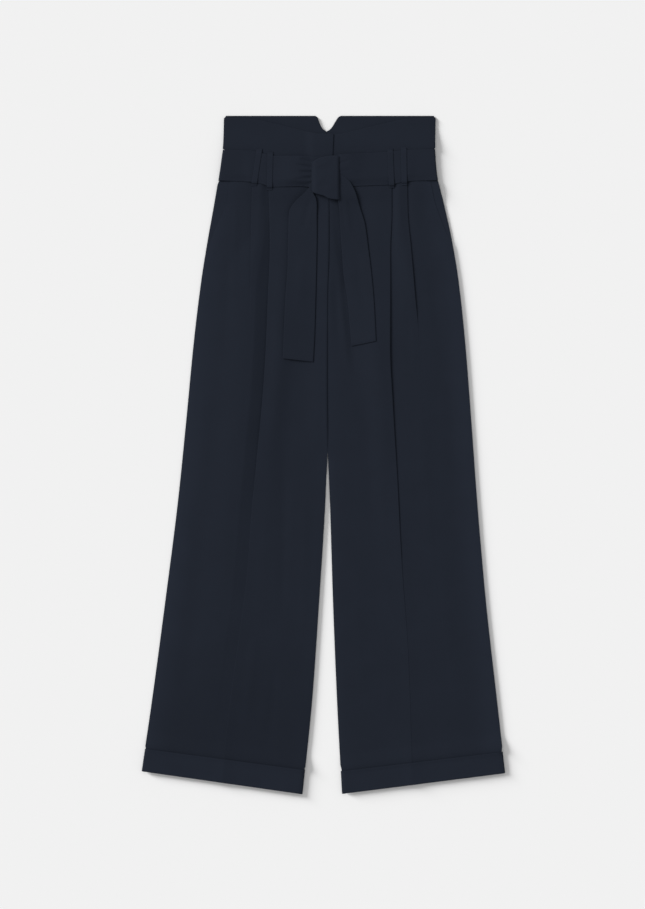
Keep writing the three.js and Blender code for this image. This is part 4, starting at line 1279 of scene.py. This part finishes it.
def add_stage():
    bm = bmesh.new()
    bmesh.ops.create_grid(bm, x_segments=1, y_segments=1, size=FLOOR_HALF)
    bmesh.ops.translate(bm, verts=bm.verts, vec=(0, 0, FLOOR_DROP * -MM))
    material, tree = new_material("pale_paper_backdrop")
    shader = add_node(
        tree, "ShaderNodeBsdfPrincipled",
        {"Base Color": linear("F1F1F1"), "Roughness": 1.0, "Specular IOR Level": 0.0},
    )
    add_node(tree, "ShaderNodeOutputMaterial", None, {"Surface": (shader, "BSDF")})
    floor = add_object("floor", bm, material)
    return floor


def linked_objects(name, objects, state):
    """A collection for light linking that takes in its objects or leaves them out."""
    linked = bpy.data.collections.new(name)
    for number, thing in enumerate(objects):
        linked.objects.link(thing)
        linked.collection_objects[number].light_linking.link_state = state
    return linked


def add_sun(name, azimuth, elevation, strength, spread_degrees):
    """A soft light as far off as the sun; azimuth is where it comes from, clockwise from +Y."""
    data = bpy.data.lights.new(name, "SUN")
    data.energy = strength
    data.angle = math.radians(spread_degrees)
    light = bpy.data.objects.new(name, data)
    turn, height = math.radians(azimuth), math.radians(elevation)
    source = Vector((math.sin(turn) * math.cos(height), math.cos(turn) * math.cos(height), math.sin(height)))
    light.rotation_euler = source.to_track_quat("Z", "Y").to_euler()
    light.location = source * SUN_DISTANCE
    bpy.context.collection.objects.link(light)
    return light


def add_lights(floor):
    world = bpy.data.worlds.new("studio")
    world.use_nodes = True
    background = world.node_tree.nodes["Background"]
    background.inputs["Color"].default_value = (1, 1, 1, 1)
    background.inputs["Strength"].default_value = 0.5
    bpy.context.scene.world = world
    key = add_sun("key", azimuth=-60, elevation=40, strength=2.44, spread_degrees=34)
    key.light_linking.receiver_collection = linked_objects("key_leaves_out", [floor], "EXCLUDE")
    # A low light that only the floor takes throws the narrow soft shadow along the right and lower edges
    low = add_sun("floor_light", azimuth=-58, elevation=10.7, strength=8.47, spread_degrees=14)
    low.light_linking.receiver_collection = linked_objects("floor_light_falls_on", [floor], "INCLUDE")
    names = ("front_panel", "back_panel", "back_band")
    casters = [bpy.data.objects[f"{name}_{side}"] for name in names for side in SIGN]
    low.light_linking.blocker_collection = linked_objects("floor_light_blocked_by", casters, "INCLUDE")


scene = bpy.context.scene
scene.view_settings.view_transform = "Standard"
scene.view_settings.look = "None"

add_camera()
for wearer_side in SIGN:
    for add_piece in (
        add_back_leg, add_front_leg, add_pocket_bearer, add_back_band, add_front_band, add_cuff,
        add_front_belt, add_back_loop, add_tail,
    ):
        add_piece(wearer_side)
for loop_number, loop_row in enumerate(FRONT_LOOPS, start=1):
    add_front_loop(loop_number, loop_row)
add_fly()
add_back_belt()
add_knot()
add_lights(add_stage())
